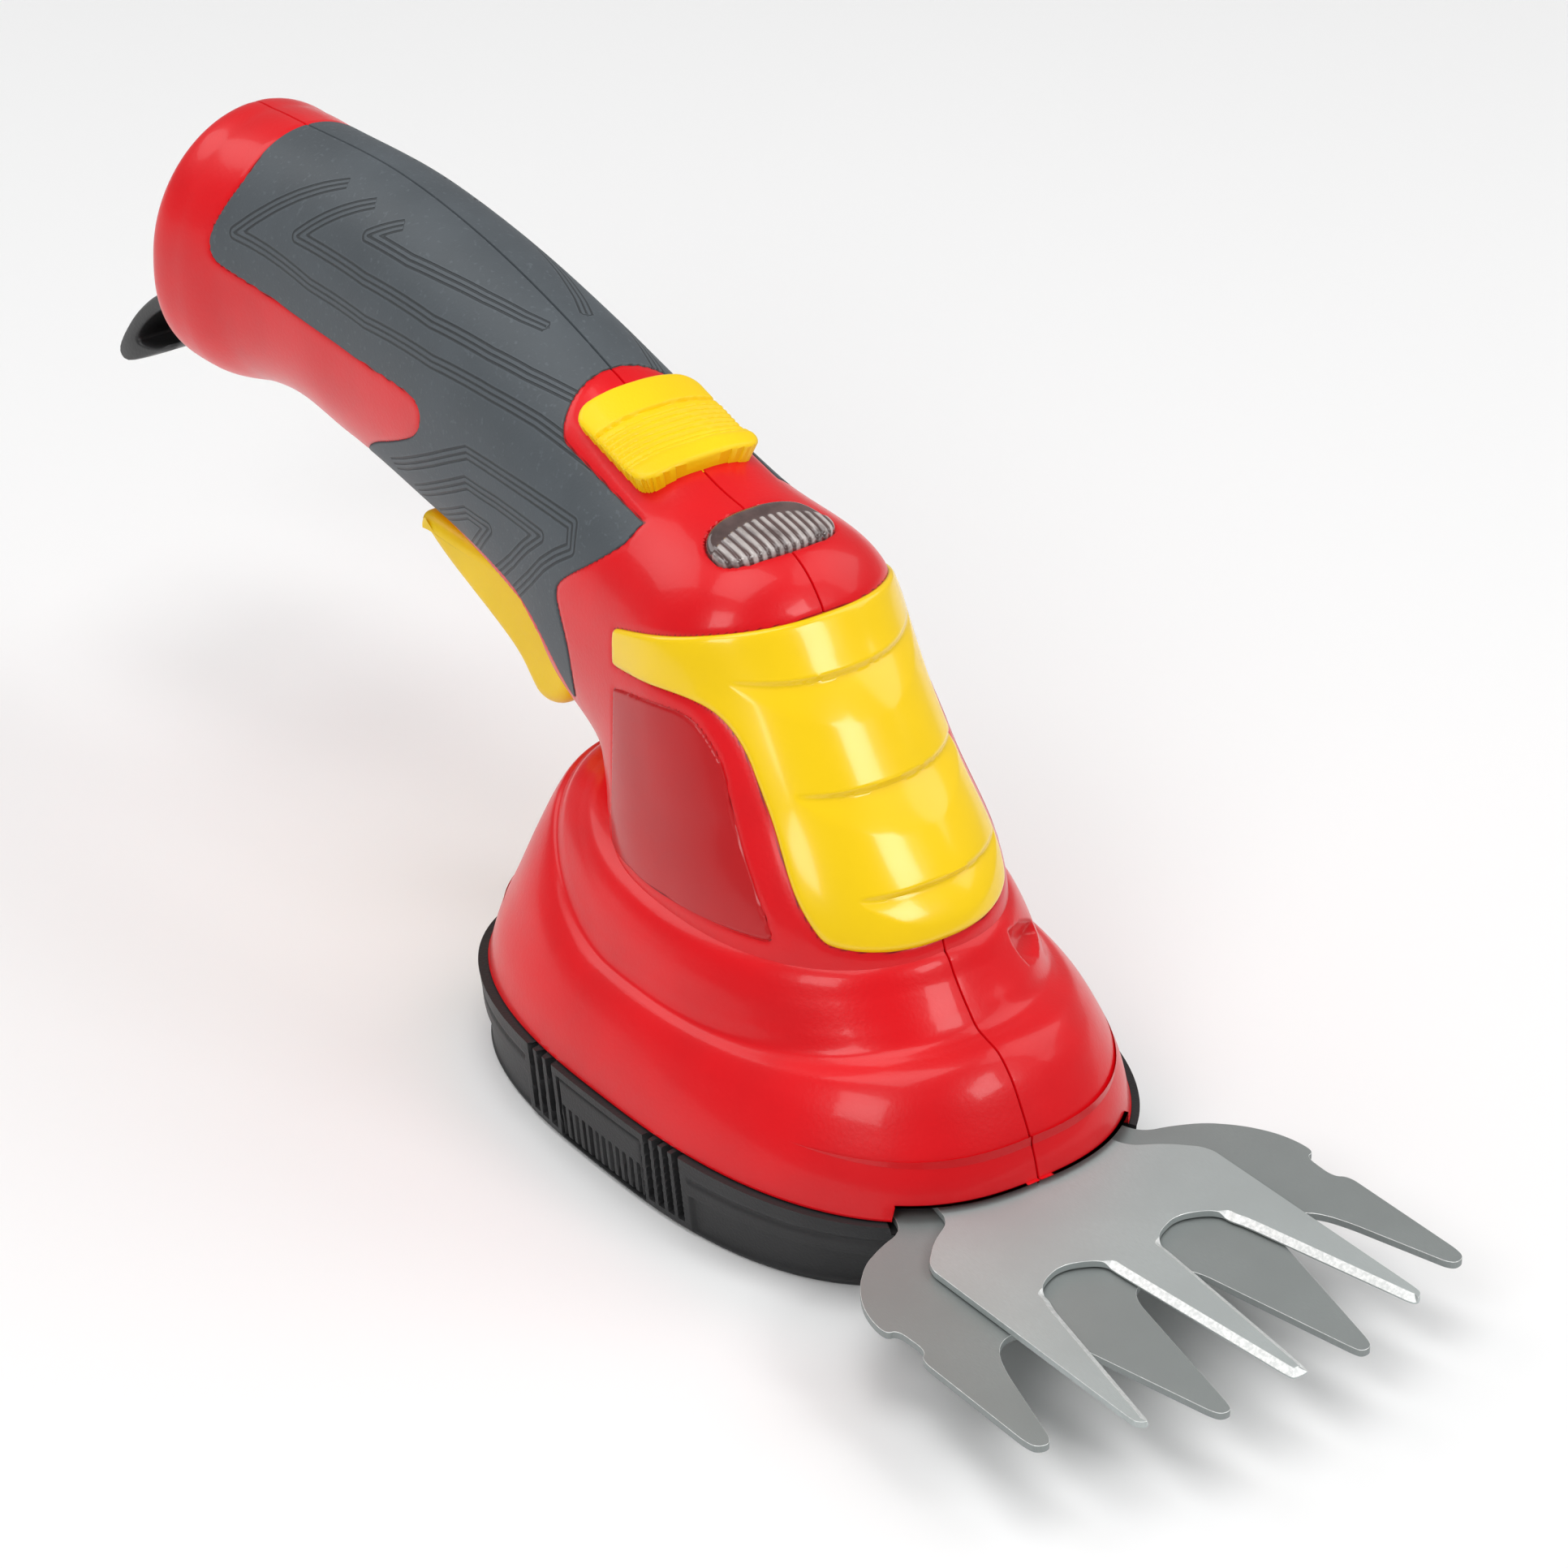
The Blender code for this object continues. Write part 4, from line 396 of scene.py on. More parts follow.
coverOutline = rounded([
    (-19.6, 81.4), (-19.4, 82.5), (-18.2, 83.1), (-10.0, 85.6), (-1.8, 88.0), (3.4, 89.2), (14.0, 91.0),
    (60.0, 80.0), (60.0, 46.6), (37.8, 46.6), (33.4, 47.3), (30.2, 48.1), (28.9, 48.8), (27.4, 50.4),
    (23.4, 54.9), (18.6, 61.2), (13.2, 68.4), (9.4, 73.2), (5.8, 76.3), (2.3, 78.0), (-3.2, 78.6),
    (-10.4, 77.6), (-17.8, 76.5), (-18.9, 76.6), (-19.2, 77.8)], 2)
labelOutline = rounded([
    (-19.1, 72.2), (-18.2, 72.9), (-12.6, 74.6), (-4.0, 76.2), (0.6, 75.9), (4.4, 73.3), (7.8, 70.0),
    (11.1, 63.7), (14.6, 59.0), (18.4, 54.4), (22.3, 48.9), (22.4, 47.6), (21.4, 47.2), (-17.2, 45.4),
    (-18.6, 45.8), (-18.9, 47.0)], 1)
# the red island around the slider: straight sides and a round rear end
islandTurns = np.linspace(math.pi / 2, 3 * math.pi / 2, 25)
islandOutline = np.array([(10.0, 12.6)] + [(-43.8 + 6 * math.cos(a), 12.6 * math.sin(a)) for a in islandTurns]
                         + [(10.0, -12.6)])
# lens: an arched rear edge and a flatter front one, with blunt ends
lensTurns = np.linspace(0, 2 * math.pi, 97)[:-1]
lensOutline = np.stack([-7.4 + np.where(np.cos(lensTurns) > 0, 4.9, 6.9) * np.sign(np.cos(lensTurns))
                        * np.abs(np.cos(lensTurns)) ** 0.85,
                        11.0 * np.sign(np.sin(lensTurns)) * np.abs(np.sin(lensTurns)) ** 0.8], axis=1)
sliderOutline = np.array([(-35.4 + sx * 6.9 + 2.8 * math.cos(a), sy * 7.4 + 2.8 * math.sin(a))
                          for sx, sy, low in ((1, 1, 0), (-1, 1, 1), (-1, -1, 2), (1, -1, 3))
                          for a in np.linspace(low * math.pi / 2, (low + 1) * math.pi / 2, 9)])


# signed distances of points to the edges of each skin piece, more than 0 inside it
def skinDistances(points):
    x, y, z = points[..., 0], points[..., 1], points[..., 2]
    grip = np.minimum(outlineDistance(x, z, gripOutline), -outlineDistance(x, y, islandOutline))
    label = np.where(np.abs(y) > 8, outlineDistance(x, z, labelOutline), -9.0)
    lens = np.where(z > 85, outlineDistance(x, y, lensOutline), -9.0)
    return {"grip": grip, "cover": outlineDistance(x, z, coverOutline), "label": label, "lens": lens}


# points inside a side outline move to the nearest place on its sides
def cutToOutline(points, outline):
    x, z = points[..., 0], points[..., 2]
    inside = outlineDistance(x, z, outline) > 0
    flat = np.stack([x[inside], z[inside]], axis=1)
    best, nearest = np.full(len(flat), 1e9), flat.copy()
    for a, b in zip(outline[:-1], outline[1:]):
        way = b - a
        share = np.clip(((flat - a) @ way) / (way @ way), 0, 1)
        spot = a + share[:, None] * way
        away = np.hypot(*(flat - spot).T)
        closer = away < best
        nearest[closer], best[closer] = spot[closer], away[closer]
    points[inside, 0], points[inside, 2] = nearest[:, 0], nearest[:, 1]
    return inside


# the last rows and columns by the middle plane, rolled inwards for the parting line
def rollSeam(points, normals, side, gap=0.1):
    for column, depth, away in ((0, 1.1, gap), (1, 0.22, gap), (2, 0.04, gap + 0.12)):
        for edge in (column, points.shape[1] - 1 - column):
            points[:, edge] -= normals[:, edge] * depth
            points[:, edge, 1] = side * away
    return points


housing = {"gripBed": 0.7, "coverBed": 0.7, "labelBed": 0.28, "lensBed": 2.6, "columns": 150, "rows": 430,
           "capRows": 14, "capDepth": 1.4, "seamWidth": 0.4, "seamDepth": 0.16}
socket = {"z": 91.5, "radius": 4.6, "depth": 5.0, "behind": -150}


# one side of the handle as a grid with its outward normals; its first rows close the rear as a low dome
def handleSide(side):
    rows = alongRows(handleSections, housing["rows"])
    capRows = housing["capRows"]
    angles = np.linspace(0, math.pi, housing["columns"])
    points = handleGrid(np.vstack([rows[:1].repeat(capRows, axis=0), rows]), angles)
    rise = np.linspace(0, math.pi / 2, capRows, endpoint=False)
    middle = points[capRows].mean(axis=0)
    middle[1] = 0
    cap = middle + (points[:capRows] - middle) * np.sin(rise)[:, None, None]
    cap[:, :, 0] -= (housing["capDepth"] * np.cos(rise))[:, None]
    points[:capRows] = cap
    points[:, :, 1] *= -side
    normals = gridNormals(points) * side
    normals[:2] = (-1, 0, 0)
    return points, normals


# one side of the handle and neck, sunk under each skin piece by the depth of its bed
def makeHousing(name, side, nodes):
    points, normals = handleSide(side)
    away = skinDistances(points)
    depth = (smoothStep(away["grip"], 0.1, 0.9) * housing["gripBed"]
             + smoothStep(away["cover"], 0.1, 0.9) * housing["coverBed"]
             + smoothStep(away["label"], 0.0, 0.5) * housing["labelBed"]
             + smoothStep(away["lens"], -0.1, 0.7) * housing["lensBed"])
    seam = np.minimum.reduce([np.abs(v) for v in away.values()])
    groove = housing["seamDepth"] * np.exp(-(seam / housing["seamWidth"]) ** 2)
    points = points - normals * (depth + groove)[..., None]
    fromSocket = np.hypot(points[..., 1], points[..., 2] - socket["z"])
    hole = (fromSocket < socket["radius"]) & (points[..., 0] < socket["behind"])
    sunk = smoothStep(-fromSocket, -socket["radius"], -4.0) * socket["depth"]
    points[..., 0] += np.where(hole, sunk, 0)
    rollSeam(points, normals, side)
    cutToOutline(points, triggerWay)
    count = points.shape[:2]
    flat = points.reshape(-1, 3)
    faces = gridFaces(*count, flip=side > 0)
    makePiece(name, flat, [faces], "housing", "red_plastic", nodes, {"seam": seam}, 40)


# head: plan superellipses through the levels, which rise towards the tail and dip at the sides
headLevels = [
    (61.2, 58.0, 38.0, 2.53, 2.65, 14.4, 0.0, 0.0), (59.4, 55.6, 37.2, 2.5, 2.6, 20.5, 1.5, 0.6),
    (56.4, 52.6, 35.7, 2.45, 2.5, 26.5, 3.5, 1.8), (53.0, 49.8, 33.8, 2.4, 2.4, 31.5, 7.0, 2.9),
    (50.2, 48.2, 32.3, 2.37, 2.3, 33.9, 10.0, 3.4), (47.0, 46.6, 31.1, 2.3, 2.3, 34.9, 12.0, 3.6),
    (45.4, 45.6, 30.8, 2.3, 2.3, 35.4, 12.0, 3.6), (42.6, 43.6, 30.3, 2.3, 2.3, 38.0, 11.6, 3.2),
    (39.6, 40.0, 29.2, 2.3, 2.3, 41.6, 9.6, 2.2), (37.4, 36.6, 27.4, 2.3, 2.3, 44.7, 7.4, 1.6),
    (34.4, 32.0, 24.6, 2.3, 2.3, 46.4, 5.6, 1.3), (26.0, 26.0, 18.0, 2.3, 2.3, 47.0, 5.0, 0.6),
]


# rows through levels, even in the length of the front line
def alongLevels(levels, count):
    levels = np.array(levels, float)
    order = np.column_stack([levels[:, 0], levels[:, 5], levels])
    return alongRows(order, count)[:, 2:]


head = {"rows": 170, "columns": 300, "wall": 2.4, "notchHalf": 22.6, "notchTop": 16.9,
        "tailStart": 9.0, "tailLength": 46.0, "recessDepth": 2.4}
recessOutline = rounded([(27.0, 36.6), (38.4, 36.6), (37.2, 40.4), (34.6, 44.2)], 1)


# head: superellipse rings in plan at the levels, lifted smoothly behind tailStart
def planGrid(levels, angles):
    front, rear, half, roundFront, roundRear, height, rise, dip = [c[:, None] for c in levels.T]
    c, s = np.cos(angles)[None, :], np.sin(angles)[None, :]
    power = 2 / np.where(c >= 0, roundFront, roundRear)
    x = np.where(c >= 0, front, rear) * np.sign(c) * np.abs(c) ** power
    y = -half * np.sign(s) * np.abs(s) ** power
    tail = smoothStep(-x, head["tailStart"], head["tailStart"] + head["tailLength"])
    z = height + rise * tail - dip * (y / half) ** 2
    return np.stack([x, y, z], axis=2)


# the rim over the blades: rows below its top gather on the first row above it
def cutNotch(points):
    over = (points[..., 0] > 30) & (np.abs(points[..., 1]) < head["notchHalf"])
    for column in np.flatnonzero(over[4]):
        line = points[:, column]
        first = 4 + np.argmax(line[4:, 2] >= head["notchTop"])
        low, high = line[first - 1].copy(), line[first].copy()
        edge = low + (high - low) * (head["notchTop"] - low[2]) / (high[2] - low[2])
        line[4:first] = edge
        line[:4, 2] = np.maximum(line[:4, 2], head["notchTop"])


# one side of the head, from inside its rim up to its top, with the recess on the left side
def makeHead(name, side):
    levels = alongLevels(headLevels, head["rows"])
    inner = levels[:1].repeat(4, axis=0)
    inner[:, :3] -= np.array([head["wall"], head["wall"], head["wall"] * 0.5, 0.0])[:, None]
    inner[:, 5] += (9.0, 0.5, 0.0, 0.3)
    angles = np.linspace(0, math.pi, head["columns"])
    points = planGrid(np.vstack([inner, levels]), angles)
    points[:, :, 1] *= -side
    normals = gridNormals(points) * -side
    normals[:4] = normals[6]
    cutNotch(points)
    if side > 0:
        recess = outlineDistance(points[..., 0], points[..., 2], recessOutline)
        sunk = smoothStep(recess, -0.1, 0.4) * smoothStep(recess, -0.2, 2.6) ** 0.5
        points -= normals * (sunk * head["recessDepth"])[..., None]
    rollSeam(points, normals, side)
    count = points.shape[:2]
    seam = np.full(count, 9.0)
    faces = gridFaces(*count, flip=side < 0)
    makePiece(name, points.reshape(-1, 3), [faces], "housing", "red_plastic", (), {"seam": seam}, 50)


skin = {"margin": 0.18, "dive": 2.6, "round": 2.2, "deepest": -1.1, "beyond": -0.6}


# a skin piece: it stands proud inside its outline and dives under the housing outside it
def skinPiece(name, side, keys, height, finish, nodes, span, turn, size, marks=None, lift=None):
    rows = alongRows(handleSections, size[0], *span)
    angles = np.linspace(*turn, size[1])
    points = handleGrid(rows, angles)
    points[:, :, 1] *= -side
    normals = gridNormals(points) * side
    away = skinDistances(points)
    edge = away[keys]
    inside = np.maximum(edge - skin["margin"], 0)
    proud = height * (1 - np.exp(-skin["round"] * inside / height))
    rise = np.where(edge < skin["margin"], (edge - skin["margin"]) * skin["dive"], proud)
    rise = np.maximum(rise, skin["deepest"])
    layers = {"seam": edge - 0.1}
    if marks is not None:
        layers.update(marks(points, normals, side))
    if lift is not None:
        rise = rise + lift(points)
    points = points + normals * rise[..., None]
    if keys == "grip":
        rollSeam(points, normals, side)
        cutToOutline(points, triggerWay)
    flat = points.reshape(-1, 3)
    faces = gridFaces(*size, flip=side > 0, keep=edge > skin["beyond"])
    flat, faces, layers = tidyPoints(flat, faces, layers)
    makePiece(name, flat, [faces], "housing", finish, nodes, layers, 45)


# engraved chevrons and arrows of the grip: share of the way along the handle, and angle
gripLines = [
    [(0.199, 0.404), (0.106, 1.204), (0.206, 1.303), (0.280, 1.289), (0.365, 1.150), (0.434, 0.948),
     (0.482, 0.781), (0.545, 0.620)],
    [(0.236, 0.422), (0.178, 1.033), (0.267, 1.015), (0.349, 0.907), (0.413, 0.727), (0.449, 0.593),
     (0.500, 0.350)],
    [(0.272, 0.431), (0.250, 0.709), (0.299, 0.647), (0.335, 0.548), (0.374, 0.422), (0.408, 0.287),
     (0.426, 0.192)],
    [(0.312, 2.200), (0.431, 1.469), (0.564, 1.083), (0.576, 1.235), (0.520, 1.960)],
    [(0.344, 2.290), (0.436, 1.636), (0.540, 1.388), (0.470, 2.240)],
    [(0.382, 2.320), (0.438, 1.856), (0.473, 1.734), (0.440, 2.230)],
]


# places on the handle's surface for shares and angles
def onHandle(places, side):
    rows = alongRows(handleSections, 0, places[:, 0], None)
    grid = handleGrid(rows, places[:, 1])
    return grid[np.arange(len(places)), np.arange(len(places))] * (1, -side, 1)


# signed and plain distances in millimetres from the surface points to the nearest engraved line
def gripMarkLayers(points, normals, side):
    best, signed = np.full(points.shape[:2], 9.0), np.full(points.shape[:2], 9.0)
    for line in gripLines:
        steps = np.arange(0, len(line) - 1 + 0.01, 0.2)
        places = np.stack([np.interp(steps, np.arange(len(line)), column) for column in np.array(line).T], axis=1)
        path = onHandle(places, side)
        ways = np.diff(path, axis=0)
        ways = ways / np.linalg.norm(ways, axis=1, keepdims=True)
        turns = np.vstack([ways[:1], ways[1:] + ways[:-1], ways[-1:]])
        for k, (a, b) in enumerate(zip(path[:-1], path[1:])):
            raw = (points - a) @ (b - a) / ((b - a) @ (b - a))
            off = points - a - np.clip(raw, 0, 1)[..., None] * (b - a)
            away = np.linalg.norm(off, axis=2)
            past = ((raw < 0) & (k == 0)) | ((raw > 1) & (k == len(ways) - 1))
            away = np.where(past, 9.0, away)
            turn = np.where((raw > 1)[..., None], turns[k + 1], ways[k])
            turn = np.where((raw < 0)[..., None], turns[k], turn)
            hand = np.sign(np.sum(np.cross(turn, off) * normals, axis=2))
            closer = away < best
            best = np.where(closer, away, best)
            signed = np.where(closer, away * hand, signed)
    return {"mark": signed, "near": best}


for side, word in ((-1, "right"), (1, "left")):
    makeHousing(f"housingShell_{word}", side, [f"housing_{word}"])
    makeHead(f"housingHead_{word}", side)
    skinPiece(f"gripSkin_{word}", side, "grip", 0.04, "soft_grip", [f"grip_{word}"],
              (0.06, 0.66), (0, math.pi), (440, 200), gripMarkLayers)
    skinPiece(f"labelPanel_{word}", side, "label", 0.12, "label_film", [f"label_{word}"],
              (0.55, 0.96), (0.55, 2.2), (220, 120))


# scallops of the cover: a crisp step down under the upper arc that runs out at the lower arc
coverScallops = [{"z": 82.0, "half": 17.5, "middle": 1.0, "deep": 6.6, "step": 1.0},
                 {"z": 67.6, "half": 16.5, "middle": 2.5, "deep": 6.6, "step": 1.0},
                 {"z": 54.6, "half": 14.5, "middle": 3.0, "deep": 5.4, "step": 1.0}]


# depth of the scallops: full under the upper arc, fading to nothing at the lower one
def scallopDepth(points):
    y, z = points[..., 1], points[..., 2]
    depth = np.zeros(y.shape)
    for scallop in coverScallops:
        width = np.clip(1 - ((y - scallop["middle"]) / scallop["half"]) ** 2, 0, 1)
        under = (scallop["z"] - z) / np.maximum(scallop["deep"] * width ** 0.7, 0.02)
        shape = smoothStep(scallop["z"] - z, -0.35, 0.35) * np.clip(1 - under, 0, 1) ** 1.3
        depth = np.maximum(depth, scallop["step"] * shape * width ** 0.5)
    return depth


lensRibs = {"pitch": 1.5, "height": 0.3, "back": -11.0}


# ribs fore and aft on the front part of the lens, which sits a little above its smooth rear part
def lensLayers(points, normals, side):
    ribbed = smoothStep(points[..., 0] - 0.02 * points[..., 1] ** 2, lensRibs["back"], lensRibs["back"] + 1.0)
    return {"rib": ribbed * np.abs(np.cos(math.pi * points[..., 1] / lensRibs["pitch"]))}


def lensLift(points):
    rib = lensLayers(points, None, 0)["rib"]
    return lensRibs["height"] * (rib ** 1.5 - 0.5) + 0.3 * np.exp(-((points[..., 0] + 12.2) / 1.6) ** 2)


skinPiece("coverShell", -1, "cover", 0.5, "yellow_plastic", ["front_cover"],
          (0.58, 1.0), (-1.9, 1.9), (280, 340), lift=lambda points: -scallopDepth(points))
skinPiece("lensCover", -1, "lens", 0.75, "ribbed_lens", ["indicator_lens"],
          (0.6, 0.72), (-0.75, 0.75), (150, 360), lensLayers, lensLift)
print("stage: housing and skins")


slider = {"base": 1.7, "lip": 2.6, "ribs": 7, "ribStart": -37.2, "ribEnd": -29.6, "rib": 0.3,
          "groove": -38.6, "grooveDepth": 0.6, "grooveWidth": 0.28, "rim": 0.9, "flat": 0.011}


# the slider follows the handle, with a groove, ribs across it and a raised lip in front;
# its top is flatter than the neck, so it stands higher towards its sides by flat * y^2
def makeSlider():
    rows = alongRows(handleSections, 220, 0.45, 0.64)
    points = handleGrid(rows, np.linspace(-0.85, 0.85, 210))
    normals = -gridNormals(points)
    x, y = points[..., 0], points[..., 1]
    edge = outlineDistance(x, y, sliderOutline)
    top = slider["base"] + slider["flat"] * y ** 2
    top = top + (slider["lip"] - slider["base"]) * smoothStep(x, -31.5, -28.6)
    wave = (x - slider["ribStart"]) / (slider["ribEnd"] - slider["ribStart"]) * slider["ribs"]
    ribbed = (wave > 0) & (wave < slider["ribs"])
    top = top + np.where(ribbed, slider["rib"] * (np.abs(np.sin(math.pi * wave)) - 0.5), 0)
    top = top - slider["grooveDepth"] * np.exp(-((x - slider["groove"]) / slider["grooveWidth"]) ** 2)
    side = np.clip(edge / slider["rim"], 0, 1)
    lift = np.where(edge > 0, top - slider["rim"] * (1 - np.sqrt(1 - (1 - side) ** 2)), -0.2)
    lift = np.where(edge > 0, np.maximum(lift, 0.25), lift)
    flat, faces, layers = tidyPoints((points + normals * lift[..., None]).reshape(-1, 3),
                                     gridFaces(220, 210, keep=edge > -0.35), {})
    makePiece("sliderCap", flat, [faces], "slider", "plain_yellow", ["lock_slider"],
              layers, 32)


# points spaced evenly along a closed outline
def evenly(outline, count):
    closed = np.vstack([outline, outline[:1]])
    reach = np.concatenate([[0], np.cumsum(np.hypot(*np.diff(closed, axis=0).T))])
    at = np.linspace(0, reach[-1], count, endpoint=False)
    return np.stack([np.interp(at, reach, closed[:, 0]), np.interp(at, reach, closed[:, 1])], axis=1)


# outward unit normals at the corners of a closed outline
def outlineNormals(outline):
    way = np.roll(outline, -1, axis=0) - np.roll(outline, 1, axis=0)
    area = np.sum(outline[:, 0] * np.roll(outline[:, 1], -1) - np.roll(outline[:, 0], -1) * outline[:, 1])
    normal = np.stack([way[:, 1], -way[:, 0]], axis=1) * np.sign(area)
    return normal / np.maximum(np.linalg.norm(normal, axis=1, keepdims=True), 1e-9)


# triangles that fill a flat ring whose points are numbered from start
def capFaces(ring, start):
    flat = [Vector((p[0], p[1], 0)) for p in ring]
    return np.array(tessellate_polygon([flat])) + start


# an outline drawn through a depth along Y, with rims rounded in a quarter circle
def makePillow(name, outline, half, radius, body, finish, nodes, steps=8):
    turn = np.linspace(0, math.pi / 2, steps)
    inset = radius * (1 - np.sin(turn))
    depth = half - radius * (1 - np.cos(turn))
    y = np.concatenate([-depth, depth[::-1]])
    inset = np.concatenate([inset, inset[::-1]])
    rings = outline[None] - outlineNormals(outline)[None] * inset[:, None, None]
    points = np.stack([rings[..., 0], np.broadcast_to(y[:, None], rings.shape[:2]), rings[..., 1]], axis=2)
    faces = [gridFaces(len(y), len(outline), closed=True), capFaces(rings[0], 0),
             capFaces(rings[-1], (len(y) - 1) * len(outline))]
    facesOut(makePiece(name, points.reshape(-1, 3), faces, body, finish, nodes, None, 40))


# turns the faces of a closed piece outwards
def facesOut(made):
    shape = bmesh.new()
    shape.from_mesh(made.data)
    bmesh.ops.remove_doubles(shape, verts=shape.verts, dist=1e-7)
    bmesh.ops.recalc_face_normals(shape, faces=shape.faces)
    shape.to_mesh(made.data)
    shape.free()


triggerOutline = rounded([
    (-90.6, 68.6), (-88.0, 66.6), (-82.5, 63.8), (-75.0, 60.9), (-68.0, 58.2), (-62.0, 55.4),
    (-58.5, 51.8), (-56.6, 50.4), (-53.6, 50.2), (-50.2, 51.6), (-47.4, 54.6), (-46.4, 59.0),
    (-47.6, 65.0), (-52.0, 69.6), (-63.6, 71.0), (-78.0, 70.4), (-90.0, 70.2)], 2)
loopOutline = rounded([
    (-151.0, 74.9), (-151.0, 80.3), (-164.0, 80.3), (-172.0, 78.0), (-179.0, 74.0), (-185.0, 68.8),
    (-189.6, 63.2), (-192.4, 58.6), (-191.0, 57.2), (-188.6, 57.6), (-182.0, 61.0), (-175.0, 64.8),
    (-168.0, 68.8), (-163.2, 74.9)], 2)
loopHole = rounded([
    (-165.2, 77.4), (-171.0, 75.4), (-177.4, 71.6), (-182.6, 67.2), (-186.2, 62.6), (-180.0, 63.4),
    (-173.0, 67.0), (-166.4, 71.2)], 2)


# where an outline crosses the rays at the given bearings from a centre
def atBearings(outline, centre, bearing):
    line = evenly(outline, 900)
    angle = np.arctan2(line[:, 1] - centre[1], line[:, 0] - centre[0])
    order = np.argsort(angle)
    return np.stack([np.interp(bearing, angle[order], line[order, k], period=2 * math.pi) for k in (0, 1)], axis=1)


# the loop: a band between its outlines, whose section is a rectangle with rounded rims
def makeLoop(count=160, radius=1.0, half=8.0, steps=5):
    bearing = np.linspace(-math.pi, math.pi, count, endpoint=False)
    centre = loopHole.mean(axis=0)
    outer, inner = [atBearings(line, centre, bearing) for line in (loopOutline, loopHole)]
    way = (inner - outer) / np.maximum(np.linalg.norm(inner - outer, axis=1, keepdims=True), 0.01)
    turn = np.linspace(0, math.pi / 2, steps)
    inset, depth = radius * (1 - np.sin(turn)), half - radius * (1 - np.cos(turn))
    inset, depth = np.concatenate([inset, inset[::-1]]), np.concatenate([-depth, depth[::-1]])
    rings = [outer + way * shift for shift in inset] + [inner - way * shift for shift in inset[::-1]]
    y = np.concatenate([depth, depth[::-1]])
    points = np.array([np.column_stack([ring[:, 0], np.full(count, place), ring[:, 1]])
                       for ring, place in zip(rings + rings[:1], list(y) + [y[0]])])
    faces = gridFaces(len(points), count, closed=True)
    facesOut(makePiece("hangerBand", points.reshape(-1, 3), [faces], "housing", "plain_black",
                       ["hanger_loop"], None, 40))


makeSlider()
makePillow("triggerLever", evenly(triggerOutline, 260), 11.0, 2.4, "trigger", "plain_yellow",
           ["trigger"])
makeLoop()
print("stage: slider, trigger and loop")


# levels of the base: front reach, rear reach, half width, height
baseLevels = [(55.4, 56.0, 37.2, 0.0), (56.4, 56.8, 37.9, 0.8), (61.4, 58.2, 39.0, 12.6), (61.8, 58.4, 39.2, 14.1)]
base = {"columns": 1180, "slotDepth": 1.8, "windowDepth": 5.2, "window": (-11.3, 11.3, 1.2, 12.5), "ledge": 0.6,
        "notchFrom": 40, "notchHalf": 23.6, "notchFloor": 12.9, "fineWithin": 27, "fineWeight": 3.0,
        "slots": [(-18.9, 0.75), (-16.2, 0.75), (-13.4, 0.75), (13.0, 0.6), (15.3, 0.6), (17.6, 0.6), (19.9, 0.6)]}


# bearings around the base, closer together beside the slots and buttons
def baseAngles(count):
    dense = np.linspace(0, 2 * math.pi, 20001)
    x = 58 * np.sign(np.cos(dense)) * np.abs(np.cos(dense)) ** 0.74
    weight = np.where(np.abs(x) < base["fineWithin"], base["fineWeight"], 1.0)
    reach = np.concatenate([[0], np.cumsum((weight[1:] + weight[:-1]) / 2)])
    return np.interp(np.linspace(0, reach[-1], count, endpoint=False), reach, dense)


# base: superellipses between the levels
def baseGrid(angles, heights, grow=0.0):
    levels = np.array(baseLevels)
    table = [np.interp(heights, levels[:, 3], levels[:, k]) + grow for k in range(3)]
    c, s = np.cos(angles)[None, :], np.sin(angles)[None, :]
    power = 2 / np.where(c >= 0, 2.6, 2.8)
    x = np.where(c >= 0, table[0][:, None], table[1][:, None]) * np.sign(c) * np.abs(c) ** power
    y = -table[2][:, None] * np.sign(s) * np.abs(s) ** power
    return np.stack([x, y, np.broadcast_to(heights[:, None], x.shape)], axis=2)


# how far the sides of the base sink: slots through the rim, button windows and a lower ledge
def baseDepth(points):
    x, y, z = points[..., 0], points[..., 1], points[..., 2]
    slots = np.zeros(x.shape)
    for centre, half in base["slots"]:
        cut = smoothStep(half - np.abs(x - centre), -0.1, 0.1) * smoothStep(z, 1.9, 2.2)
        slots = np.maximum(slots, cut * base["slotDepth"])
    low, high, bottom, top = base["window"]
    window = (smoothStep(np.minimum(x - low, high - x), -0.05, 0.2)
              * smoothStep(np.minimum(z - bottom, top - z), -0.1, 0.2)) * base["windowDepth"]
    beyond = smoothStep(np.abs(x - 0.5), 21.5, 22.3)
    ledge = base["ledge"] * smoothStep(7.6 - z, -0.2, 0.2) * smoothStep(z, 0.3, 1.5)
    crease = 0.35 * np.exp(-((z - 10.6) / 0.5) ** 2)
    return np.where(np.abs(y) > 22, np.maximum(slots, window), 0) + (ledge + crease) * beyond


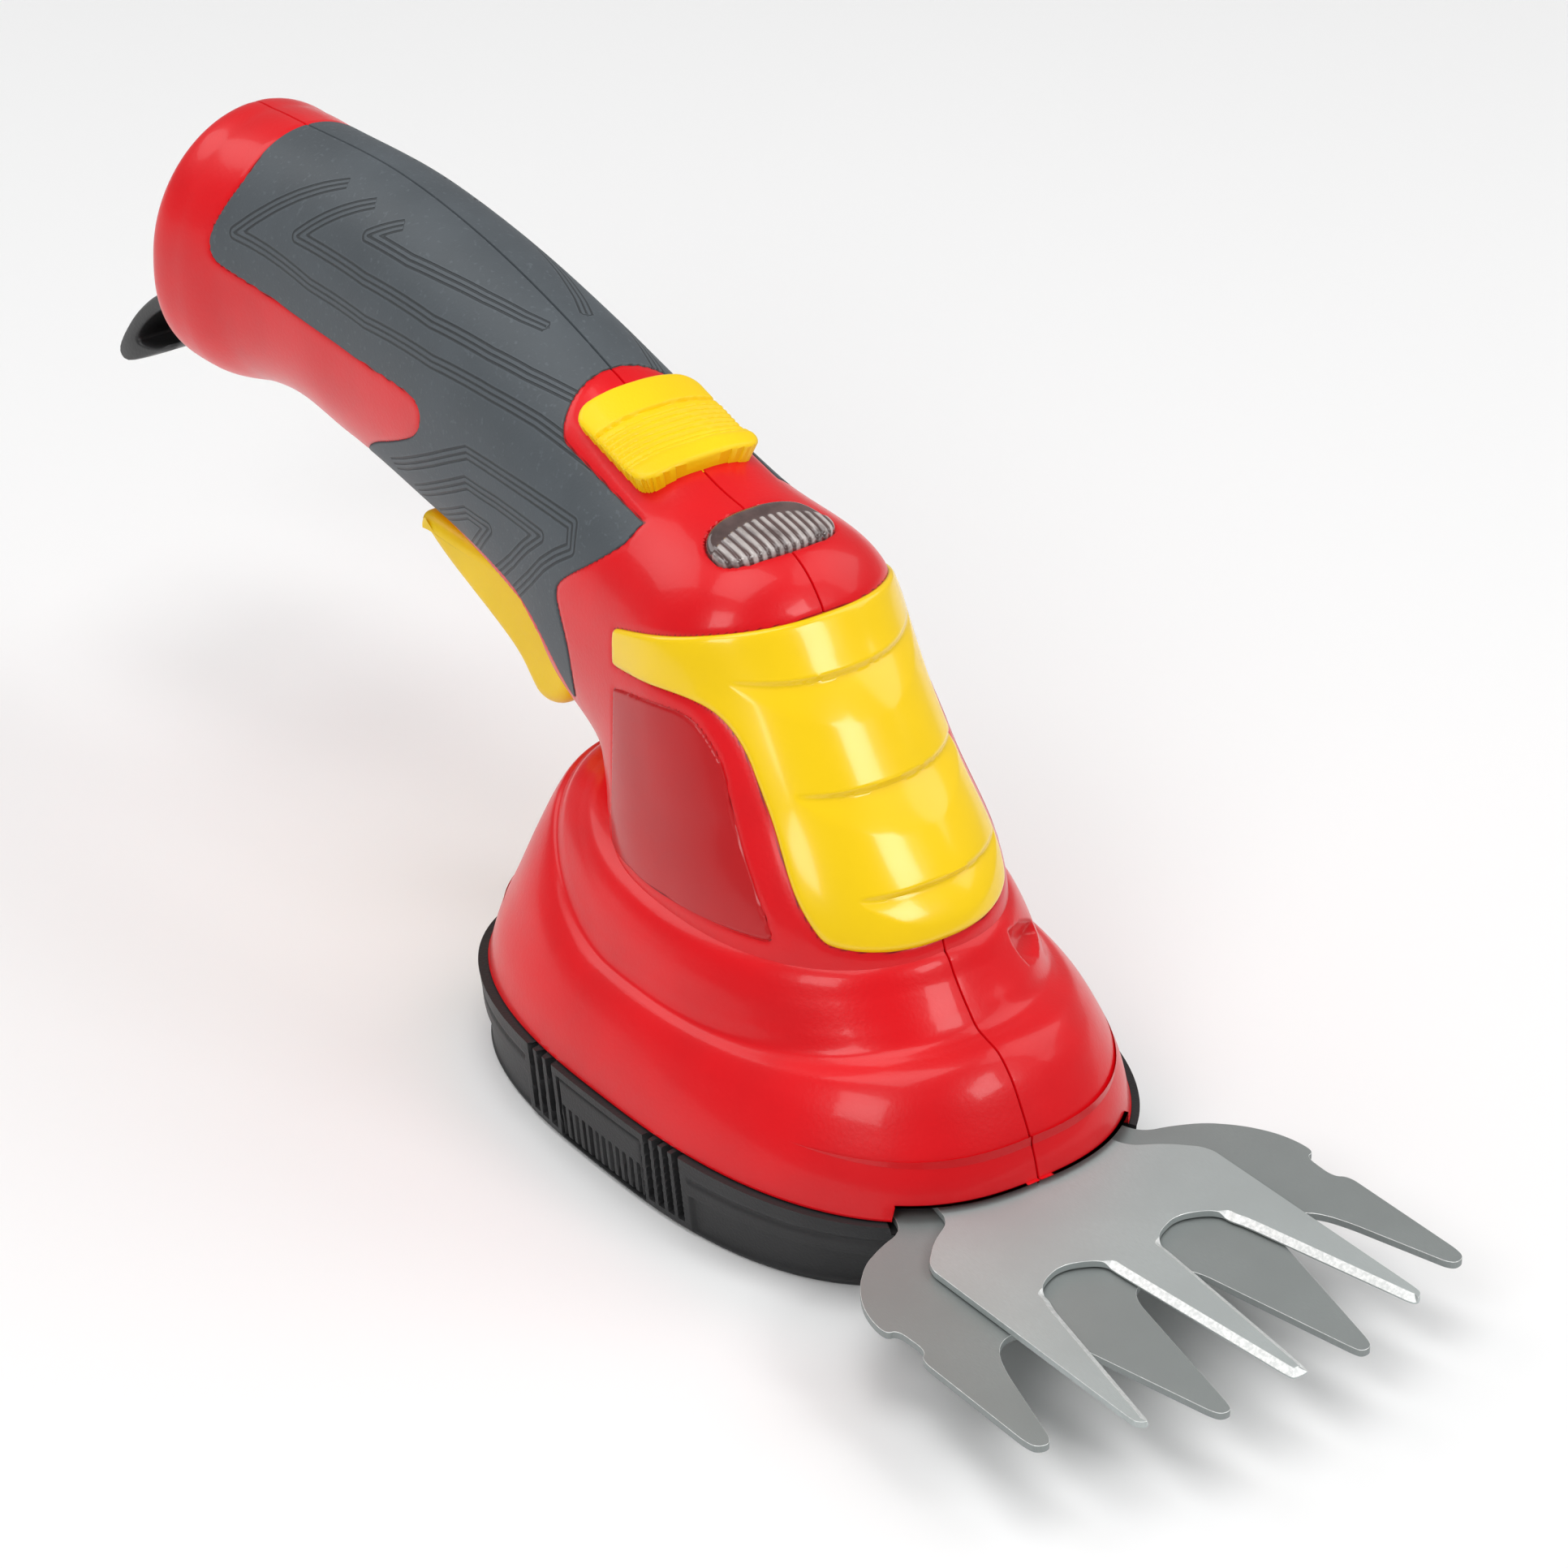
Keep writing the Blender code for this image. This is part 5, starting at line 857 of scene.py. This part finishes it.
# the tray: flat bottom, sides with a notch for the blades, and a top that steps down inside the rim
def makeBase():
    heights = np.concatenate([[0.0], np.linspace(0.05, 14.05, 70), [14.1]])
    points = baseGrid(baseAngles(base["columns"]), heights)
    points = points - gridNormals(points) * baseDepth(points)[..., None]
    notch = (points[..., 0] > base["notchFrom"]) & (np.abs(points[..., 1]) < base["notchHalf"])
    points[..., 2] = np.where(notch, np.minimum(points[..., 2], base["notchFloor"]), points[..., 2])
    lower = points[:1] * np.array([0.0, 0.35, 0.7, 0.94, 0.99])[:, None, None]
    lower[..., 2] = 0.0
    upper = points[-1:].repeat(3, axis=0) * np.array([0.985, 0.93, 0.92])[:, None, None]
    upper[..., 2] = np.minimum(points[-1:, :, 2], np.array([14.1, 14.1, 11.0])[:, None])
    points = np.concatenate([lower, points, upper])
    faces = gridFaces(len(points), base["columns"], closed=True)
    facesOut(makePiece("baseTray", points.reshape(-1, 3), [faces], "housing", "black_plastic",
                       ["base_cover"], None, 35))


button = {"half": 11.0, "low": 1.5, "high": 12.2, "ribs": 12, "ribTop": 7.6, "rib": 0.75, "ribEnds": 10.6,
          "deepest": -2.4, "rows": 70, "columns": 300, "span": 0.32}


# a squeeze button: part of the base's side with rounded edges, and upright ribs below a smooth band
def makeButton(name, side, node):
    middle = math.pi / 2 if side < 0 else 3 * math.pi / 2
    heights = np.linspace(button["low"] - 0.5, button["high"] + 0.5, button["rows"])
    angles = np.linspace(middle - button["span"], middle + button["span"], button["columns"])
    points = baseGrid(angles, heights, -0.1)
    x, z = points[..., 0], points[..., 2]
    edge = np.minimum(np.minimum(x + button["half"], button["half"] - x),
                      np.minimum(z - button["low"], button["high"] - z))
    wave = np.abs(np.cos(math.pi * button["ribs"] * (x + button["half"]) / (2 * button["half"])))
    ribbed = smoothStep(button["ribTop"] - z, 0.0, 0.3) * smoothStep(button["ribEnds"] - np.abs(x), 0.0, 0.2)
    lift = np.where(edge < 0, edge * 8.0, -0.25 * np.exp(-edge / 0.2))
    lift = np.maximum(lift - ribbed * button["rib"] * smoothStep(0.72 - wave, 0.0, 0.35), button["deepest"])
    points = points + np.array([0.0, side * 1.0, 0.08]) * lift[..., None]
    faces = gridFaces(button["rows"], button["columns"], keep=edge > -0.35)
    flat, faces, layers = tidyPoints(points.reshape(-1, 3), faces, {})
    makePiece(name, flat, [faces[:, ::-side]], f"button_{name.split('_')[1]}", "black_plastic",
              [node], layers, 35)


makeBase()
makeButton("buttonFace_right", -1, "release_button_right")
makeButton("buttonFace_left", 1, "release_button_left")
print("stage: base and buttons")


lowerHalf = [
    (-12.0, 16.0), (-10.0, 19.0), (46.0, 20.4), (54.4, 21.8), (57.0, 23.6), (58.1, 27.4), (60.5, 32.4),
    (64.6, 36.6), (69.0, 39.3), (73.0, 40.5), (76.6, 40.7), (76.9, 38.8), (83.4, 38.6), (84.8, 40.5),
    (109.6, 40.7), (111.4, 39.9), (111.6, 37.6), (94.3, 32.4), (90.2, 30.6), (88.0, 28.4), (87.4, 26.0),
    (88.0, 23.6), (90.0, 21.5), (119.4, 14.7), (120.5, 13.8), (120.5, 12.4), (119.6, 11.8), (91.6, 6.0),
    (89.2, 4.4), (88.2, 2.2), (88.0, 0.0)]
upperHalf = [
    (4.0, 4.0), (6.0, 6.0), (28.0, 6.4), (33.0, 10.0), (38.0, 12.0), (44.0, 13.4), (54.0, 15.8),
    (60.2, 17.1), (63.4, 22.4), (68.0, 26.9), (114.6, 27.1), (116.2, 26.9), (117.2, 25.0), (86.6, 18.2),
    (84.4, 17.3), (82.6, 17.2), (80.8, 15.4), (79.2, 11.1), (80.8, 6.8), (82.6, 4.9), (84.4, 4.9),
    (120.2, 1.6), (120.5, 0.8), (120.5, 0.0)]


blade = {"pivot": 40.0, "rim": 0.06, "cuts": (1.2, 0.5, 0.22)}


# both halves of a blade; its corners are cut back in three rounds, by less each time
def bladeOutline(half):
    half = np.array(half)
    other = half[::-1][half[::-1][:, 1] > 0.001] * (1, -1)
    corners = np.vstack([half, other])
    for most in blade["cuts"]:
        after = np.roll(corners, -1, axis=0)
        way = after - corners
        length = np.hypot(*way.T)[:, None]
        near = np.minimum(most, length * 0.25) / np.maximum(length, 1e-6)
        corners = np.stack([corners + way * near, after - way * near], axis=1).reshape(-1, 2)
    return corners


# a blade: its outline at four heights, the top one moved inwards where the gullets are ground
def makeBlade(name, half, low, high, grind, body, node, finish, turn=0.0):
    outline = bladeOutline(half)
    normals = outlineNormals(outline)
    rim = blade["rim"]
    x, y = outline[:, 0], outline[:, 1]
    ground = smoothStep(x, grind["from"], grind["from"] + 1.5) * (np.abs(y) < grind["within"])
    ground = ground * (normals[:, 0] > -0.2)
    inset = rim + (grind["width"] - rim) * ground
    rings = [outline - normals * rim, outline, outline, outline - normals * inset[:, None]]
    heights = [np.full(len(outline), low), np.full(len(outline), low + rim),
               high - rim - (grind["drop"] - rim) * ground, np.full(len(outline), high)]
    points = np.array([np.column_stack([ring, z]) for ring, z in zip(rings, heights)]).reshape(-1, 3)
    count = len(outline)
    faces = [gridFaces(4, count, closed=True), capFaces(rings[0], 0), capFaces(rings[3], 3 * count)]
    a = math.radians(turn)
    away = points[:, :2] - (blade["pivot"], 0.0)
    points[:, 0] = blade["pivot"] + away[:, 0] * math.cos(a) - away[:, 1] * math.sin(a)
    points[:, 1] = away[:, 0] * math.sin(a) + away[:, 1] * math.cos(a)
    made = makePiece(name, points, faces, body, finish, [node])
    facesOut(made)
    made.data.polygons.foreach_set("use_smooth", np.zeros(len(made.data.polygons), bool))


makeBlade("bladeLower", lowerHalf, 13.2, 14.4, {"from": 500.0, "within": 0.0, "width": 0.05, "drop": 0.05},
          "housing", "lower_blade", "lower_steel")
makeBlade("bladeUpper", upperHalf, 14.7, 15.8, {"from": 82.0, "within": 25.4, "width": 1.15, "drop": 0.8},
          "blade", "upper_blade", "blade_steel", 0.5)
print("stage: blades")


stage = {"half": 9, "colour": (0.92, 0.92, 0.92), "roughness": 0.6}


# a wide pale floor
def makeStage():
    half = stage["half"]
    corners = [(-half, -half, 0), (half, -half, 0), (half, half, 0), (-half, half, 0)]
    mesh = bpy.data.meshes.new("floor")
    mesh.from_pydata([Vector(c) for c in corners], [], [(0, 1, 2, 3)])
    floor = bpy.data.objects.new("floor", mesh)
    bpy.context.scene.collection.objects.link(floor)
    pale = Finish("paleFloor", stage["colour"], stage["roughness"])
    mesh.materials.append(pale.material)


lights = [
    {"at": (0.45, -0.85, 0.85), "size": 0.5, "power": 4.2},
    {"at": (0.2, 0.9, 0.9), "size": 0.8, "power": 3.6},
    {"at": (-0.9, -0.4, 0.9), "size": 0.7, "power": 3.2},
    {"at": (0.8, 0.39, 0.72), "size": 0.3, "power": 2.2},
    {"at": (0.0, -0.1, 1.4), "size": 0.9, "power": 7.0},
]


# an even white world and square softboxes that face the tool
def makeLights():
    world = bpy.data.worlds.new("studio")
    bpy.context.scene.world = world
    world.use_nodes = True
    world.node_tree.nodes["Background"].inputs["Color"].default_value = (1, 1, 1, 1)
    world.node_tree.nodes["Background"].inputs["Strength"].default_value = 0.3
    for number, lamp in enumerate(lights):
        data = bpy.data.lights.new(f"softbox{number}", "AREA")
        data.shape, data.size, data.energy = "SQUARE", lamp["size"], lamp["power"]
        made = bpy.data.objects.new(f"softbox{number}", data)
        made.location = lamp["at"]
        aim = Vector((-0.03, 0, 0.05)) - Vector(lamp["at"])
        made.rotation_euler = aim.to_track_quat("-Z", "Y").to_euler()
        bpy.context.scene.collection.objects.link(made)


camera = {"at": (0.6405, -0.4699, 0.5125), "azimuth": 53.92, "elevation": 29.83, "lens": 136.64}


# the camera's axes from its azimuth and elevation
def makeCamera():
    a, e = math.radians(camera["azimuth"]), math.radians(camera["elevation"])
    back = Vector((math.sin(a) * math.cos(e), -math.cos(a) * math.cos(e), math.sin(e)))
    right = Vector((math.cos(a), math.sin(a), 0))
    up = back.cross(right)
    data = bpy.data.cameras.new("camera")
    data.lens, data.sensor_width = camera["lens"], 36.0
    made = bpy.data.objects.new("camera", data)
    turn = Matrix((right, up, back)).transposed().to_4x4()
    made.matrix_world = Matrix.Translation(camera["at"]) @ turn
    bpy.context.scene.collection.objects.link(made)
    bpy.context.scene.camera = made


makeStage()
makeLights()
makeCamera()
bpy.context.scene.view_settings.view_transform = "Standard"
slotOf = {row["node"]: row["material_slot"] for row in frame["record"]["subparts"]}
for node, thing in frame["nodes"].items():
    for number in range(len(thing.material_slots)):
        thing.material_slots[number].material = finishes[slotOf[node]].material
print("stage: carried nodes", len(frame["nodes"]))
